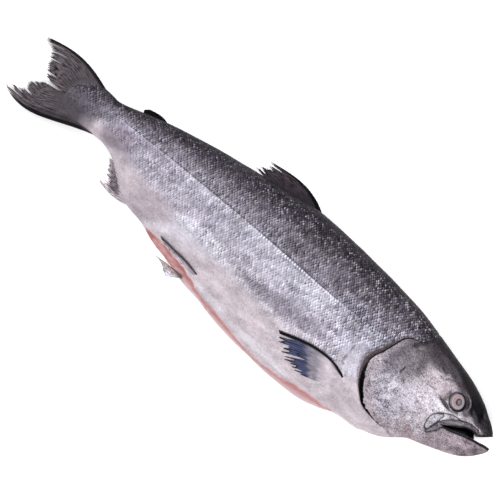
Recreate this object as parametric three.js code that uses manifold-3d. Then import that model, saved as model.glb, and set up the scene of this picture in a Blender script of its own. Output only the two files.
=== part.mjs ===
// A raw whole salmon, gutted, lying on its left side with its right side up.
// Millimetres. +X runs to the head, +Y to the back, +Z up from the table.
// The body, head, jaws, gill covers and fins are one solid, as in the real fish.
// The two eyeballs are solids of their own, each loose in its socket.
import * as THREE from "three";
import { mergeVertices } from "three/addons/utils/BufferGeometryUtils.js";
import Module from "manifold-3d";

const wasm = await Module();
wasm.setup();

// ---------------------------------------------------------------- driving dimensions
const tailEnd = -308; // where the flesh of the tail ends, seen from the middle of the fish
const jawTip = 394; // the lower jaw reaches past the snout
const headStart = 204; // the rings stand closer together from here to the jaw
const trunkStep = 16;
const headStep = 7.6;
const ringSides = 36;
const eyeClearance = 0.35;

// Lines along the fish, as [x, value] pairs.
const backLine = [
  [-308, 28], [-293, 40.5], [-273, 45], [-248, 44.5], [-229, 49.5], [-191, 60], [-127, 72.5],
  [-76, 80.5], [-13, 88.5], [20, 93], [42, 95], [95, 92.5], [158, 87], [215, 80], [253, 71.5],
  [304, 59.5], [330, 52.5], [355, 41.5], [368, 32.5], [380, 23.5], [388, 14], [394, 0],
];
const bellyLine = [
  [-308, -1], [-293, -7], [-273, -9.5], [-248, -9], [-228, -10.5], [-202, -22], [-165, -49.5],
  [-126, -58.5], [-107, -66], [-76, -72.5], [-38, -83.5], [-13, -87.5], [13, -93.5],
  [38, -98], [76, -101.5], [113, -104], [150, -103.5], [189, -96.5], [208, -88.5], [246, -87.5],
  [264, -79], [302, -55], [321, -48.5], [348, -38], [366, -30.5], [379, -22], [390, -9.5],
  [394, -2.5],
];
const halfWidthLine = [
  [-308, 2.5], [-288, 6.5], [-269, 10.5], [-246, 14.5], [-225, 18], [-187, 25],
  [-125, 34.5], [-62, 42], [0, 47], [62, 50], [125, 51], [187, 50.5], [219, 48],
  [250, 44], [281, 38.5], [304, 33.5], [330, 27], [355, 19.5], [373, 13], [384, 8.5],
  [390, 4.5], [394, 0.8],
];
// Height in the depth of the fish where it is widest.
const widestLine = [
  [-308, 14], [-246, 18], [-187, 22], [-125, 24], [0, 22], [125, 17], [200, 9], [250, 0],
  [300, -5], [340, -3], [370, -2], [394, -1],
];
// Height of the middle plane above the table: the tail droops, the snout stays up.
const restLine = [
  [-375, 2.4], [-340, 5], [-306, 9.5], [-269, 12.5], [-246, 15.5], [-225, 19], [-187, 25.5],
  [-125, 34], [-62, 39.5], [0, 43], [62, 45], [125, 45.5], [187, 45], [219, 43.5], [250, 41],
  [281, 37.5], [304, 34.5], [330, 31.5], [355, 29], [394, 27.5],
];
// How far the emptied belly hangs down at its edge.
const sagLine = [
  [-306, 0], [-190, 0], [-125, 5], [-75, 12], [0, 20], [75, 25], [125, 25], [187, 17],
  [226, 8], [264, 2], [302, 0], [394, 0],
];
// Edge of the upper belly flap. The lower flap reaches out past it to bellyLine.
const flapLine = [
  [-118, -60.5], [-90, -64], [-63, -68.5], [-38, -75], [-13, -83.5], [13, -87.5], [38, -92.5],
  [63, -97], [94, -100], [125, -99.5], [156, -95], [188, -93], [207, -90], [222, -90],
];
// Corner powers of the section: 2 is an ellipse, less is sharper, more is boxier.
const backPowerLine = [[-308, 2], [0, 2.05], [200, 2.1], [260, 2.2], [394, 2.1]];
const bellyPowerLine = [[-308, 2], [-150, 1.9], [0, 1.8], [200, 1.85], [270, 2], [394, 2.1]];

const eye = { x: 322, y: 17, radius: 12.5, depth: 6, proud: 2.2 };

// The gill cover's free edge from the nape round to the throat, and how wide the slit
// behind it gapes there.
const gillCover = {
  heart: [262, -11],
  edge: [
    [238, 39], [225, 33.5], [214, 18], [207, -1], [202, -12], [200.5, -23], [203.5, -33],
    [208, -41], [218, -53.5], [230, -61.5], [242, -66], [255, -67], [268, -66],
  ],
  gape: [0.8, 1.4, 4, 5.6, 6.2, 6.4, 6.6, 6.2, 5.6, 3.4, 2, 1.4, 0.8],
  lift: 2.2,
  slitDepth: 9,
};

// The mouth, slightly open, in side view.
const mouthGap = [
  [323, -19.5], [336, -10.5], [345, -5], [353, 0.5], [361, 3], [369, 0.5], [372, 2.5],
  [379, 8], [386, 13.5], [405, 24], [405, 2], [394, 0.6], [384, -1.5], [378, -3.8],
  [365, -7.5], [352, -12], [338, -17],
];
const mouthHollow = { x: 350, y: -7, length: 31, height: 10.5, width: 12, tilt: 0.24 };
// The tongue, a low mound that rises from the floor of the mouth.
const tongue = { x: 341, y: -11, length: 26, height: 10, width: 9, tilt: 0.3 };

// The upper lip's bone plates: the middle line of each, as x, y and half its breadth.
const lipPlates = [
  [
    [364, 8.5, 3], [352, 6, 4.5], [341, 0.5, 5.2], [332, -6.5, 5.4], [325, -14, 5],
    [320, -24, 4.4], [318, -31, 2.6],
  ],
  [[319, -7, 2.6], [313, -14.5, 5], [311, -22, 5.2], [312, -30, 3.2]],
];

// Fins. Roots and tips run from the leading ray at 0 to the last ray at 1; bow bends
// the rays; a gap is a tear between two rays, as far in from the tip as its depth.
const fins = {
  tail: {
    roots: [
      [0, -255, 41], [0.1, -278, 40], [0.25, -296, 32], [0.5, -304, 14], [0.75, -296, 2],
      [0.9, -280, -3], [1, -262, -5],
    ],
    tips: [
      [0, -371, 53.5], [0.08, -366, 50], [0.16, -357, 46.5], [0.25, -354, 41], [0.35, -349, 30],
      [0.45, -341, 13], [0.5, -318, 8], [0.55, -333, 6], [0.62, -346, 0], [0.72, -353, -8],
      [0.8, -352, -16], [0.88, -366, -23], [0.95, -373, -30], [1, -362, -35.5],
    ],
    bow: [[0, 11.5], [0.5, 0], [1, -14.5]],
    gaps: [[0.165, 0.26], [0.29, 0.2], [0.42, 0.24], [0.8, 0.1], [0.93, 0.12]],
    columns: 22, rows: 5, thick: [6, 1.6], lie: "middle", droop: 0,
  },
  dorsal: {
    roots: [[0, 44, 92], [0.5, 5, 88], [1, -31, 82]],
    tips: [
      [0, -52, 106], [0.15, -50, 104.5], [0.3, -48.5, 100.5], [0.5, -47, 97.5],
      [0.7, -57, 93.5], [0.85, -54, 92], [1, -61, 88.5],
    ],
    bow: [[0, 9.5], [0.5, 4], [1, 0]],
    gaps: [[0.22, 0.22], [0.9, 0.3]],
    columns: 12, rows: 5, thick: [5, 1.6], lie: "middle", droop: 3,
  },
  adipose: {
    roots: [[0, -180, 59], [1, -208, 50]],
    tips: [[0, -212, 61.5], [0.6, -217, 57], [1, -216, 54]],
    bow: [[0, 3.6], [1, 0]],
    gaps: [], columns: 5, rows: 5, thick: [6, 3], lie: "middle", droop: 1,
  },
  anal: {
    roots: [[0, -150, -50], [0.5, -178, -35], [1, -205, -18]],
    tips: [
      [0, -201, -50], [0.2, -197, -46], [0.35, -199, -42], [0.55, -204, -34],
      [0.75, -210, -27], [1, -217, -20],
    ],
    bow: [[0, -4.5], [0.5, -1], [1, 0]],
    gaps: [[0.12, 0.12], [0.27, 0.25]],
    columns: 10, rows: 4, thick: [5, 1.6], lie: "middle", droop: 2,
  },
  pectoral: {
    roots: [[0, 190, -54.5], [1, 184, -61]],
    tips: [
      [0, 93, -60.5], [0.12, 96, -63.5], [0.2, 98, -68.5], [0.32, 105, -74], [0.5, 117, -78.5],
      [0.72, 130, -82], [0.85, 138, -84], [0.93, 143, -84], [1, 149, -81],
    ],
    bow: [[0, 10], [0.5, 5], [1, -2]],
    gaps: [[0.16, 0.16], [0.42, 0.3], [0.93, 0.16]],
    columns: 12, rows: 5, thick: [3.4, 2.4], lie: "flank", lead: 1.5,
  },
  pelvic: {
    roots: [[0, -31, -68], [1, -36, -71.5]],
    tips: [[0, -98, -60], [0.5, -88, -63.5], [1, -68, -68]],
    bow: [[0, 1], [1, 0]],
    gaps: [], columns: 5, rows: 6, thick: [3.4, 2.2], lie: "flank", lead: 3.4,
  },
  pelvicLeft: {
    roots: [[0, -38, -77], [0.5, -41, -79], [1, -44, -81]],
    tips: [[0, -87, -78], [0.3, -77, -81], [0.6, -68, -87], [0.85, -62, -89.5], [1, -55, -86]],
    bow: [[0, 2], [1, 0]],
    gaps: [[0.15, 0.16]], columns: 7, rows: 5, thick: [4, 1.6], lie: "middle", droop: 9,
  },
};

// ---------------------------------------------------------------- lines and surfaces
// A smooth line through [x, value] pairs, as a function of x.
function along(points) {
  const last = points.length - 1;
  const slope = points.map((_, i) => {
    const [a, b] = [points[Math.max(i - 1, 0)], points[Math.min(i + 1, last)]];
    return (b[1] - a[1]) / (b[0] - a[0]);
  });
  return (x) => {
    const clamped = Math.min(Math.max(x, points[0][0]), points[last][0]);
    let i = 0;
    while (i < last - 1 && clamped > points[i + 1][0]) i += 1;
    const span = points[i + 1][0] - points[i][0];
    const t = (clamped - points[i][0]) / span;
    return (
      points[i][1] * (1 + 2 * t) * (1 - t) ** 2 +
      slope[i] * span * t * (1 - t) ** 2 +
      points[i + 1][1] * t * t * (3 - 2 * t) +
      slope[i + 1] * span * t * t * (t - 1)
    );
  };
}

const backAt = along(backLine);
const bellyAt = along(bellyLine);
const halfWidthAt = along(halfWidthLine);
const widestAt = along(widestLine);
const restAt = along(restLine);
const sagAt = along(sagLine);
const flapAt = along(flapLine);
const backPowerAt = along(backPowerLine);
const bellyPowerAt = along(bellyPowerLine);

const smooth = (t) => {
  const c = Math.min(Math.max(t, 0), 1);
  return c * c * (3 - 2 * c);
};

// How far a point is from the widest level towards the back (+) or the belly (-), 0 to 1.
function reachAt(x, y) {
  const widest = widestAt(x);
  return y > widest ? (y - widest) / (backAt(x) - widest) : (y - widest) / (widest - bellyAt(x));
}

// Height of the middle plane over the table, with the belly's sag.
function middleAt(x, y) {
  const reach = Math.min(Math.max(-reachAt(x, y), 0), 1.3);
  return restAt(x) - sagAt(x) * reach * reach;
}

// Height of the flank over the middle plane.
function flankAt(x, y) {
  const reach = Math.min(Math.abs(reachAt(x, y)), 1);
  const power = y > widestAt(x) ? backPowerAt(x) : bellyPowerAt(x);
  return halfWidthAt(x) * (1 - reach ** power) ** (1 / power);
}

// ---------------------------------------------------------------- solids
// A closed solid from points and triangles, turned the right way out.
function solidFrom(points, triangles) {
  let volume = 0;
  const [a, b, c] = [new THREE.Vector3(), new THREE.Vector3(), new THREE.Vector3()];
  for (const [i, j, k] of triangles)
    volume += a.copy(points[i]).dot(b.copy(points[j]).cross(c.copy(points[k])));
  const facing = volume < 0 ? triangles.map(([i, j, k]) => [i, k, j]) : triangles;
  return new wasm.Manifold(
    new wasm.Mesh({
      numProp: 3,
      vertProperties: new Float32Array(points.flatMap((p) => [p.x, p.y, p.z])),
      triVerts: new Uint32Array(facing.flat()),
    }),
  );
}

function solidOf(geometry, matrix) {
  const bare = new THREE.BufferGeometry();
  bare.setAttribute("position", geometry.getAttribute("position"));
  bare.setIndex(geometry.getIndex());
  if (matrix) bare.applyMatrix4(matrix);
  const merged = mergeVertices(bare, 1e-3);
  return new wasm.Manifold(
    new wasm.Mesh({
      numProp: 3,
      vertProperties: merged.attributes.position.array,
      triVerts: new Uint32Array(merged.index.array),
    }),
  );
}

function geometryOf(solid) {
  const mesh = solid.getMesh();
  const positions = new Float32Array(mesh.numVert * 3);
  for (let i = 0; i < mesh.numVert; i += 1)
    positions.set(mesh.vertProperties.subarray(i * mesh.numProp, i * mesh.numProp + 3), i * 3);
  const geometry = new THREE.BufferGeometry();
  geometry.setAttribute("position", new THREE.BufferAttribute(positions, 3));
  geometry.setIndex(new THREE.BufferAttribute(new Uint32Array(mesh.triVerts), 1));
  geometry.computeVertexNormals();
  return geometry;
}

// A solid through rings of equally many points, closed at both ends with a fan.
function loft(rings) {
  const sides = rings[0].length;
  const points = rings.flat();
  const triangles = [];
  for (let r = 0; r + 1 < rings.length; r += 1)
    for (let s = 0; s < sides; s += 1) {
      const next = (s + 1) % sides;
      const [a, b] = [r * sides + s, r * sides + next];
      triangles.push([a, b, b + sides], [a, b + sides, a + sides]);
    }
  for (const [first, flip] of [[0, true], [(rings.length - 1) * sides, false]]) {
    const centre = new THREE.Vector3();
    for (let s = 0; s < sides; s += 1) centre.addScaledVector(points[first + s], 1 / sides);
    points.push(centre);
    for (let s = 0; s < sides; s += 1) {
      const [a, b] = [first + s, first + ((s + 1) % sides)];
      triangles.push(flip ? [b, a, points.length - 1] : [a, b, points.length - 1]);
    }
  }
  return solidFrom(points, triangles);
}

// A thick sheet over a grid of columns and rows. place(i, j) gives x, y and the heights
// of both faces; keep(i, j) says which cells are there.
function sheet(columns, rows, place, keep = () => true) {
  const points = [];
  for (let i = 0; i <= columns; i += 1)
    for (let j = 0; j <= rows; j += 1) {
      const { x, y, low, high } = place(i, j);
      points.push(new THREE.Vector3(x, y, high), new THREE.Vector3(x, y, low));
    }
  const at = (i, j, under) => 2 * (i * (rows + 1) + j) + (under ? 1 : 0);
  const there = (i, j) => i >= 0 && j >= 0 && i < columns && j < rows && keep(i, j);
  const triangles = [];
  const wall = (i, j, k, l) =>
    triangles.push(
      [at(i, j), at(i, j, true), at(k, l, true)],
      [at(i, j), at(k, l, true), at(k, l)],
    );
  for (let i = 0; i < columns; i += 1)
    for (let j = 0; j < rows; j += 1) {
      if (!there(i, j)) continue;
      triangles.push([at(i, j), at(i + 1, j), at(i + 1, j + 1)]);
      triangles.push([at(i, j), at(i + 1, j + 1), at(i, j + 1)]);
      triangles.push([at(i, j, true), at(i + 1, j + 1, true), at(i + 1, j, true)]);
      triangles.push([at(i, j, true), at(i, j + 1, true), at(i + 1, j + 1, true)]);
      if (!there(i, j - 1)) wall(i, j, i + 1, j);
      if (!there(i + 1, j)) wall(i + 1, j, i + 1, j + 1);
      if (!there(i, j + 1)) wall(i + 1, j + 1, i, j + 1);
      if (!there(i - 1, j)) wall(i, j + 1, i, j);
    }
  const used = [...new Set(triangles.flat())];
  const renumbered = new Map(used.map((old, now) => [old, now]));
  return solidFrom(
    used.map((old) => points[old]),
    triangles.map((triangle) => triangle.map((old) => renumbered.get(old))),
  );
}

// ---------------------------------------------------------------- the fish
function ringAt(x) {
  const widest = widestAt(x);
  return Array.from({ length: ringSides }, (_, s) => {
    const angle = (s / ringSides) * 2 * Math.PI;
    const [toBack, toSide] = [Math.cos(angle), Math.sin(angle)];
    const power = toBack > 0 ? backPowerAt(x) : bellyPowerAt(x);
    const depth = toBack > 0 ? backAt(x) - widest : widest - bellyAt(x);
    const y = widest + depth * Math.sign(toBack) * Math.abs(toBack) ** (2 / power);
    const z = halfWidthAt(x) * Math.sign(toSide) * Math.abs(toSide) ** (2 / power);
    return new THREE.Vector3(x, y, middleAt(x, y) + z);
  });
}

function bodySolid() {
  const stations = [];
  for (let x = tailEnd; x < headStart; x += trunkStep) stations.push(x);
  const headRings = Math.round((jawTip - headStart) / headStep);
  for (let i = 0; i <= headRings; i += 1)
    stations.push(headStart + (jawTip - headStart) * (i / headRings) ** 0.93);
  return loft(stations.map(ringAt));
}

// The side says which flank: 1 is the right one, on top, and -1 the left one, below.
const flankHeight = (x, y, side, over) => middleAt(x, y) + side * (flankAt(x, y) + over);

function flankSheet(columns, rows, side, place) {
  return sheet(columns, rows, (i, j) => {
    const { x, y, over, under } = place(i, j);
    const [top, bottom] = [flankHeight(x, y, side, over), flankHeight(x, y, side, -under)];
    return { x, y, high: Math.max(top, bottom), low: Math.min(top, bottom) };
  });
}

const gillEdge = new THREE.SplineCurve(gillCover.edge.map(([x, y]) => new THREE.Vector2(x, y)));
const gillGape = along(gillCover.gape.map((gape, i) => [i / (gillCover.gape.length - 1), gape]));
const gillSteps = 22;

// The bony gill cover: it rises from the cheek to its free edge.
function gillCoverSolid(side) {
  const heart = new THREE.Vector2(...gillCover.heart);
  const [inner, rings] = [0.35, 4];
  return flankSheet(gillSteps, rings, side, (i, j) => {
    const edge = gillEdge.getPoint(i / gillSteps);
    const share = inner + (1 - inner) * (j / rings);
    const { x, y } = heart.clone().lerp(edge, share);
    const endFade = smooth(Math.min(i, gillSteps - i) / 3);
    return { x, y, over: -0.6 + (0.6 + gillCover.lift * endFade) * smooth(j / rings), under: 5 };
  });
}

// The slit behind the gill cover, as deep as slitDepth.
function gillSlit(side) {
  return flankSheet(gillSteps, 1, side, (i, j) => {
    const t = i / gillSteps;
    const edge = gillEdge.getPoint(t);
    const away = edge.clone().sub(new THREE.Vector2(...gillCover.heart)).normalize();
    const { x, y } = edge.addScaledVector(away, j * gillGape(t));
    return { x, y, over: 9, under: gillCover.slitDepth * (1 - 0.6 * j) };
  });
}

// A raised plate along a middle line of x, y and half breadth.
function lipPlate(line, side) {
  const spine = new THREE.CatmullRomCurve3(line.map(([x, y, half]) => new THREE.Vector3(x, y, half)));
  const [steps, across] = [9, 2];
  return flankSheet(steps, across, side, (i, j) => {
    const here = spine.getPoint(i / steps);
    const along = spine.getTangent(i / steps);
    const span = Math.hypot(along.x, along.y);
    const off = ((j - across / 2) / (across / 2)) * here.z;
    const crown = j === across / 2 ? 1.8 : 0.5;
    return { x: here.x - (along.y / span) * off, y: here.y + (along.x / span) * off, over: crown, under: 4 };
  });
}

// A ball stretched to half the given sizes each way, in the middle plane.
function moundSolid({ x, y, length, height, width, tilt }) {
  const place = new THREE.Matrix4()
    .makeTranslation(x, y, restAt(x))
    .multiply(new THREE.Matrix4().makeRotationZ(tilt))
    .scale(new THREE.Vector3(length, height, width));
  return solidOf(new THREE.SphereGeometry(1, 16, 10), place);
}

function mouthSolid() {
  const outline = new THREE.Shape(mouthGap.map(([x, y]) => new THREE.Vector2(x, y)));
  const span = 80;
  const gap = new THREE.ExtrudeGeometry(outline, { depth: span, bevelEnabled: false });
  gap.translate(0, 0, restAt(mouthHollow.x) - span / 2);
  return solidOf(gap).add(moundSolid(mouthHollow));
}

// The cut along the belly: it takes off the upper flap's brim, so that the lower flap's
// flesh shows as a ledge, and runs on a little way in between the two flaps.
function bellyCut() {
  const [first, last] = [flapLine[0][0], flapLine[flapLine.length - 1][0]];
  const steps = 30;
  const beyond = 22;
  return loft(
    Array.from({ length: steps + 1 }, (_, i) => {
      const x = first + ((last - first) * i) / steps;
      const open = smooth(Math.min(i, steps - i) / 5);
      const [flap, belly] = [flapAt(x), bellyAt(x)];
      const edge = Math.max(flap, belly - 1.5);
      return [
        [edge, 34], [edge, -0.5], [edge + 15 * open, 1.2], [edge + 1, -2.6], [belly + 1, -3.4],
        [belly - beyond, -4], [belly - beyond, 34],
      ].map(([y, z]) => new THREE.Vector3(x, y, middleAt(x, y) + z));
    }),
  );
}

// The direction in which the skin faces at a point of a flank.
function outwards(x, y, side) {
  const reach = 4;
  const slope = (dx, dy) =>
    (flankHeight(x + dx, y + dy, side, 0) - flankHeight(x - dx, y - dy, side, 0)) / (2 * reach);
  return new THREE.Vector3(-slope(reach, 0), -slope(0, reach), 1).multiplyScalar(side).normalize();
}

// A flattened ball, square to the skin, that stands a little proud of it.
function eyeSolid(side, grow) {
  const axis = outwards(eye.x, eye.y, side);
  const skin = new THREE.Vector3(eye.x, eye.y, flankHeight(eye.x, eye.y, side, 0));
  const turn = new THREE.Quaternion().setFromUnitVectors(new THREE.Vector3(0, 1, 0), axis);
  const place = new THREE.Matrix4().compose(
    skin.addScaledVector(axis, eye.proud - eye.depth),
    turn,
    new THREE.Vector3(eye.radius + grow, eye.depth + grow, eye.radius + grow),
  );
  return solidOf(new THREE.SphereGeometry(1, 18, 10), place);
}

// Where the columns of a fin's grid start and end, with a narrow one at each tear.
function finColumns(fin) {
  const tear = 0.007;
  const even = Array.from({ length: fin.columns + 1 }, (_, i) => i / fin.columns);
  const clear = even.filter((u) => fin.gaps.every(([at]) => Math.abs(u - at) > 2.5 * tear));
  return [...clear, ...fin.gaps.flatMap(([at]) => [at - tear, at + tear])].sort((a, b) => a - b);
}

function finSolid(fin, side = 1) {
  const columns = finColumns(fin);
  const line = (list, axis) => along(list.map((entry) => [entry[0], entry[axis]]));
  const [rootX, rootY] = [line(fin.roots, 1), line(fin.roots, 2)];
  const [tipX, tipY] = [line(fin.tips, 1), line(fin.tips, 2)];
  const bow = along(fin.bow);
  const place = (i, j) => {
    const [u, v] = [columns[i], j / fin.rows];
    const x = rootX(u) + (tipX(u) - rootX(u)) * v;
    const y = rootY(u) + (tipY(u) - rootY(u)) * v + bow(u) * Math.sin(Math.PI * v ** 0.8);
    const thick = fin.thick[0] + (fin.thick[1] - fin.thick[0]) * v ** 0.6;
    if (fin.lie === "flank") {
      const lift = fin.lead * (1 - u) ** 2 * smooth(v * 3);
      return { x, y, over: lift + thick / 2, under: thick / 2 };
    }
    const middle = Math.max(middleAt(x, y) - fin.droop * v, thick / 2 + 0.6);
    return { x, y, high: middle + thick / 2, low: middle - thick / 2 };
  };
  const keep = (i, j) => {
    const u = (columns[i] + columns[i + 1]) / 2;
    const tear = fin.gaps.find(([at]) => Math.abs(u - at) < 1e-6);
    return !tear || (j + 0.5) / fin.rows < 1 - tear[1];
  };
  if (fin.lie !== "flank") return sheet(columns.length - 1, fin.rows, place, keep);
  return sheet(columns.length - 1, fin.rows, (i, j) => {
    const { x, y, over, under } = place(i, j);
    const ends = [flankHeight(x, y, side, over), flankHeight(x, y, side, -under)];
    return { x, y, high: Math.max(...ends), low: Math.min(...ends) };
  }, keep);
}

function fishSolid() {
  let fish = bodySolid();
  for (const side of [1, -1]) {
    fish = fish.add(gillCoverSolid(side)).subtract(gillSlit(side));
    for (const line of lipPlates) fish = fish.add(lipPlate(line, side));
  }
  fish = fish.subtract(mouthSolid()).add(moundSolid(tongue)).subtract(bellyCut());
  for (const name of ["tail", "dorsal", "adipose", "anal", "pelvicLeft"])
    fish = fish.add(finSolid(fins[name]));
  fish = fish.add(finSolid(fins.pelvic, 1));
  for (const side of [1, -1]) {
    fish = fish.add(finSolid(fins.pectoral, side));
    fish = fish.subtract(eyeSolid(side, eyeClearance));
  }
  return fish.intersect(overTable());
}

// Everything above the table: what the fish's weight presses flat ends at height 0.
function overTable() {
  const room = new THREE.BoxGeometry(1000, 400, 200);
  return solidOf(room.translate(0, 0, 100));
}

// ---------------------------------------------------------------- assembly
function skin() {
  return new THREE.MeshStandardMaterial({ color: 0x8f8c96, roughness: 0.38, metalness: 0.25 });
}

function eyeGlass() {
  return new THREE.MeshStandardMaterial({ color: 0x8d8488, roughness: 0.12, metalness: 0 });
}

function piece(name, solid, material) {
  const mesh = new THREE.Mesh(geometryOf(solid), material);
  mesh.name = name;
  return mesh;
}

const salmon = new THREE.Group();
salmon.add(
  piece("fish", fishSolid(), skin()),
  piece("eye_right", eyeSolid(1, 0), eyeGlass()),
  piece("eye_left", eyeSolid(-1, 0), eyeGlass()),
);

// The origin is on the table under the middle of the fish's box.
const box = new THREE.Box3().setFromObject(salmon);
const middle = box.getCenter(new THREE.Vector3());
salmon.position.set(-middle.x, -middle.y, -box.min.z);

export default salmon;
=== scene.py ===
# A raw whole salmon, gutted, lying on its left side: skin, fins, eyes, mouth and the cut belly.
import math
from bisect import bisect_left

import bmesh
import bpy
from mathutils import Matrix, Vector, noise


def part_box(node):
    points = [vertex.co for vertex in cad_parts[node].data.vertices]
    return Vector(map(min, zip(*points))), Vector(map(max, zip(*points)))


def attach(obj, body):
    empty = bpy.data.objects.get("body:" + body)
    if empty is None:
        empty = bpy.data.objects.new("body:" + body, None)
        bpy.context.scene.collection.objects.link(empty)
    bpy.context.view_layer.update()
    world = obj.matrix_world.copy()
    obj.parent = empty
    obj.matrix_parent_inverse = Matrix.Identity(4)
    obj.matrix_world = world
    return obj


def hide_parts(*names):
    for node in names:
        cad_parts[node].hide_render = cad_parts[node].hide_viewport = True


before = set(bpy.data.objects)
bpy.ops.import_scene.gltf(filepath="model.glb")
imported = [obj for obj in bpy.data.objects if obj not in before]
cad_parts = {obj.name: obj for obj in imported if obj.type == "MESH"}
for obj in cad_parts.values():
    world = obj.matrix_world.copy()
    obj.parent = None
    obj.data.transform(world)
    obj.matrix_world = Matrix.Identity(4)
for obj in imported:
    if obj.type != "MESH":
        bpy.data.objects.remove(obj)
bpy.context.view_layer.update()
print("frame loaded")

# The fish is drawn in millimetres, x to the head, y to the back and z up, and is moved into the frame at the
# end. Each line gives its value at some places along the fish.
bodyLines = {
    "back": [
        (-308, 28), (-293, 41.5), (-273, 47), (-260, 46.6), (-248, 45.3), (-229, 49.5), (-191, 60),
        (-127, 72.5), (-76, 80.5), (-13, 88.5), (20, 93), (42, 95), (95, 92.5), (158, 87), (215, 80),
        (253, 71.5), (304, 59.5), (330, 52.5), (355, 41.5), (368, 33), (380, 24.8), (388, 16), (394, 1.5),
    ],
    "belly": [
        (-308, -1), (-293, -7), (-273, -9.5), (-248, -9.5), (-228, -10.5), (-202, -22), (-165, -50),
        (-126, -59.5), (-107, -67), (-93, -71), (-76, -74), (-38, -84.5), (-13, -87.5), (13, -93.5),
        (38, -98), (76, -101.5), (113, -104), (150, -104), (170, -102.5), (189, -97.5), (200, -94),
        (208, -90.5), (222, -88.8), (246, -87), (252, -84.3), (264, -81), (274, -76.5), (282, -71.5),
        (290, -65), (302, -56), (321, -49.5), (348, -39.5), (366, -31.5), (379, -22.5), (390, -9.5),
        (394, -2.5),
    ],
    "halfWidth": [
        (-308, 2.5), (-288, 6.5), (-269, 10.5), (-246, 14.5), (-225, 18), (-187, 25), (-125, 34.5),
        (-62, 42), (0, 47), (62, 50), (125, 51), (187, 50.5), (219, 48), (250, 44), (281, 38.5),
        (304, 33.5), (330, 27), (355, 19.5), (373, 13), (384, 8.5), (390, 4.5), (394, 0.8),
    ],
    "widest": [
        (-308, 14), (-246, 18), (-187, 22), (-125, 24), (0, 22), (125, 17), (200, 9), (250, 0),
        (300, -5), (340, -3), (370, -2), (394, -1),
    ],
    "rest": [  # height of the middle plane over the table
        (-375, 2.4), (-340, 5), (-306, 9.5), (-269, 12.5), (-246, 15.5), (-225, 19), (-187, 25.5),
        (-125, 34), (-62, 39.5), (0, 43), (62, 45), (125, 45.5), (187, 45), (219, 43.5), (250, 41),
        (281, 37.5), (304, 34.5), (330, 31.5), (355, 29), (394, 27.5),
    ],
    "sag": [  # how far the emptied belly hangs down at its edge
        (-306, 0), (-190, 0), (-125, 5), (-75, 12), (0, 20), (75, 25), (125, 25), (187, 17),
        (226, 8), (264, 2), (302, 0), (394, 0),
    ],
    "flap": [  # edge of the upper belly flap
        (-118, -60.5), (-90, -64), (-63, -68.5), (-38, -75), (-13, -83.5), (13, -87.5), (38, -92.5),
        (63, -97), (94, -100), (125, -99.5), (156, -95), (188, -93), (207, -90), (222, -90),
    ],
    "backPower": [(-308, 2), (0, 2.05), (200, 2.1), (260, 2.2), (394, 2.1)],
    "bellyPower": [(-308, 2), (-150, 1.9), (0, 1.8), (200, 1.85), (270, 2), (394, 2.1)],
    "lateral": [  # the lateral line, where the dark back meets the silver flank
        (-308, 20), (-285, 25), (-260, 26), (-227, 25.5), (-191, 23.9), (-155, 22.9), (-120, 21.4),
        (-75, 19.7), (-38, 18.5), (0, 17.3), (62, 14.5), (112, 12.8), (170, 13.8), (215, 17), (262, 22),
        (300, 20), (340, 12), (394, 4),
    ],
}


def along(points):  # a smooth line through (place, value) points, as a function of the place
    places = [point[0] for point in points]
    values = [point[1] for point in points]
    last = len(points) - 1
    slopes = []
    for i in range(last + 1):
        before, after = max(i - 1, 0), min(i + 1, last)
        slopes.append((values[after] - values[before]) / (places[after] - places[before]))

    def valueAt(place):
        place = min(max(place, places[0]), places[last])
        i = min(max(bisect_left(places, place) - 1, 0), last - 1)
        span = places[i + 1] - places[i]
        t = (place - places[i]) / span
        return (
            values[i] * (1 + 2 * t) * (1 - t) ** 2 + slopes[i] * span * t * (1 - t) ** 2
            + values[i + 1] * t * t * (3 - 2 * t) + slopes[i + 1] * span * t * t * (t - 1)
        )

    return valueAt


body = {name: along(points) for name, points in bodyLines.items()}


def smooth(t):  # from 0 to 1 without a corner
    t = min(max(t, 0), 1)
    return t * t * (3 - 2 * t)


def reachAt(x, y):  # 0 where the fish is widest, 1 at the back, -1 at the belly
    widest = body["widest"](x)
    if y > widest:
        return (y - widest) / (body["back"](x) - widest)
    return (y - widest) / (widest - body["belly"](x))


def middleAt(x, y):  # height of the middle plane, which hangs down at the belly
    reach = min(max(-reachAt(x, y), 0), 1.3)
    return body["rest"](x) - body["sag"](x) * reach * reach


def flankHeight(x, y, side, over):  # height of the plain skin above (1) or below (-1), and so far outside it
    reach = min(abs(reachAt(x, y)), 1)
    power = body["backPower" if y > body["widest"](x) else "bellyPower"](x)
    flank = body["halfWidth"](x) * (1 - reach ** power) ** (1 / power)
    return middleAt(x, y) + side * (flank + over)


def curveThrough(points, steps=6):  # a smooth drawn line through a few points of any length
    ends = [tuple(2 * a - b for a, b in zip(points[0], points[1]))]
    ends += list(points) + [tuple(2 * a - b for a, b in zip(points[-1], points[-2]))]
    line = []
    for i in range(1, len(ends) - 2):
        p, q, r, s = ends[i - 1:i + 3]
        for step in range(steps):
            t = step / steps
            line.append(tuple(
                0.5 * (2 * b + (c - a) * t + (2 * a - 5 * b + 4 * c - d) * t * t
                       + (3 * b - a - 3 * c + d) * t ** 3)
                for a, b, c, d in zip(p, q, r, s)
            ))
    return line + [tuple(points[-1])]


def drawn(points, reach=12):  # a line on the flank, and the box in which it is felt
    line = curveThrough(points)
    xs, ys = [p[0] for p in line], [p[1] for p in line]
    return {"line": line, "box": (min(xs) - reach, max(xs) + reach, min(ys) - reach, max(ys) + reach)}


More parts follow.
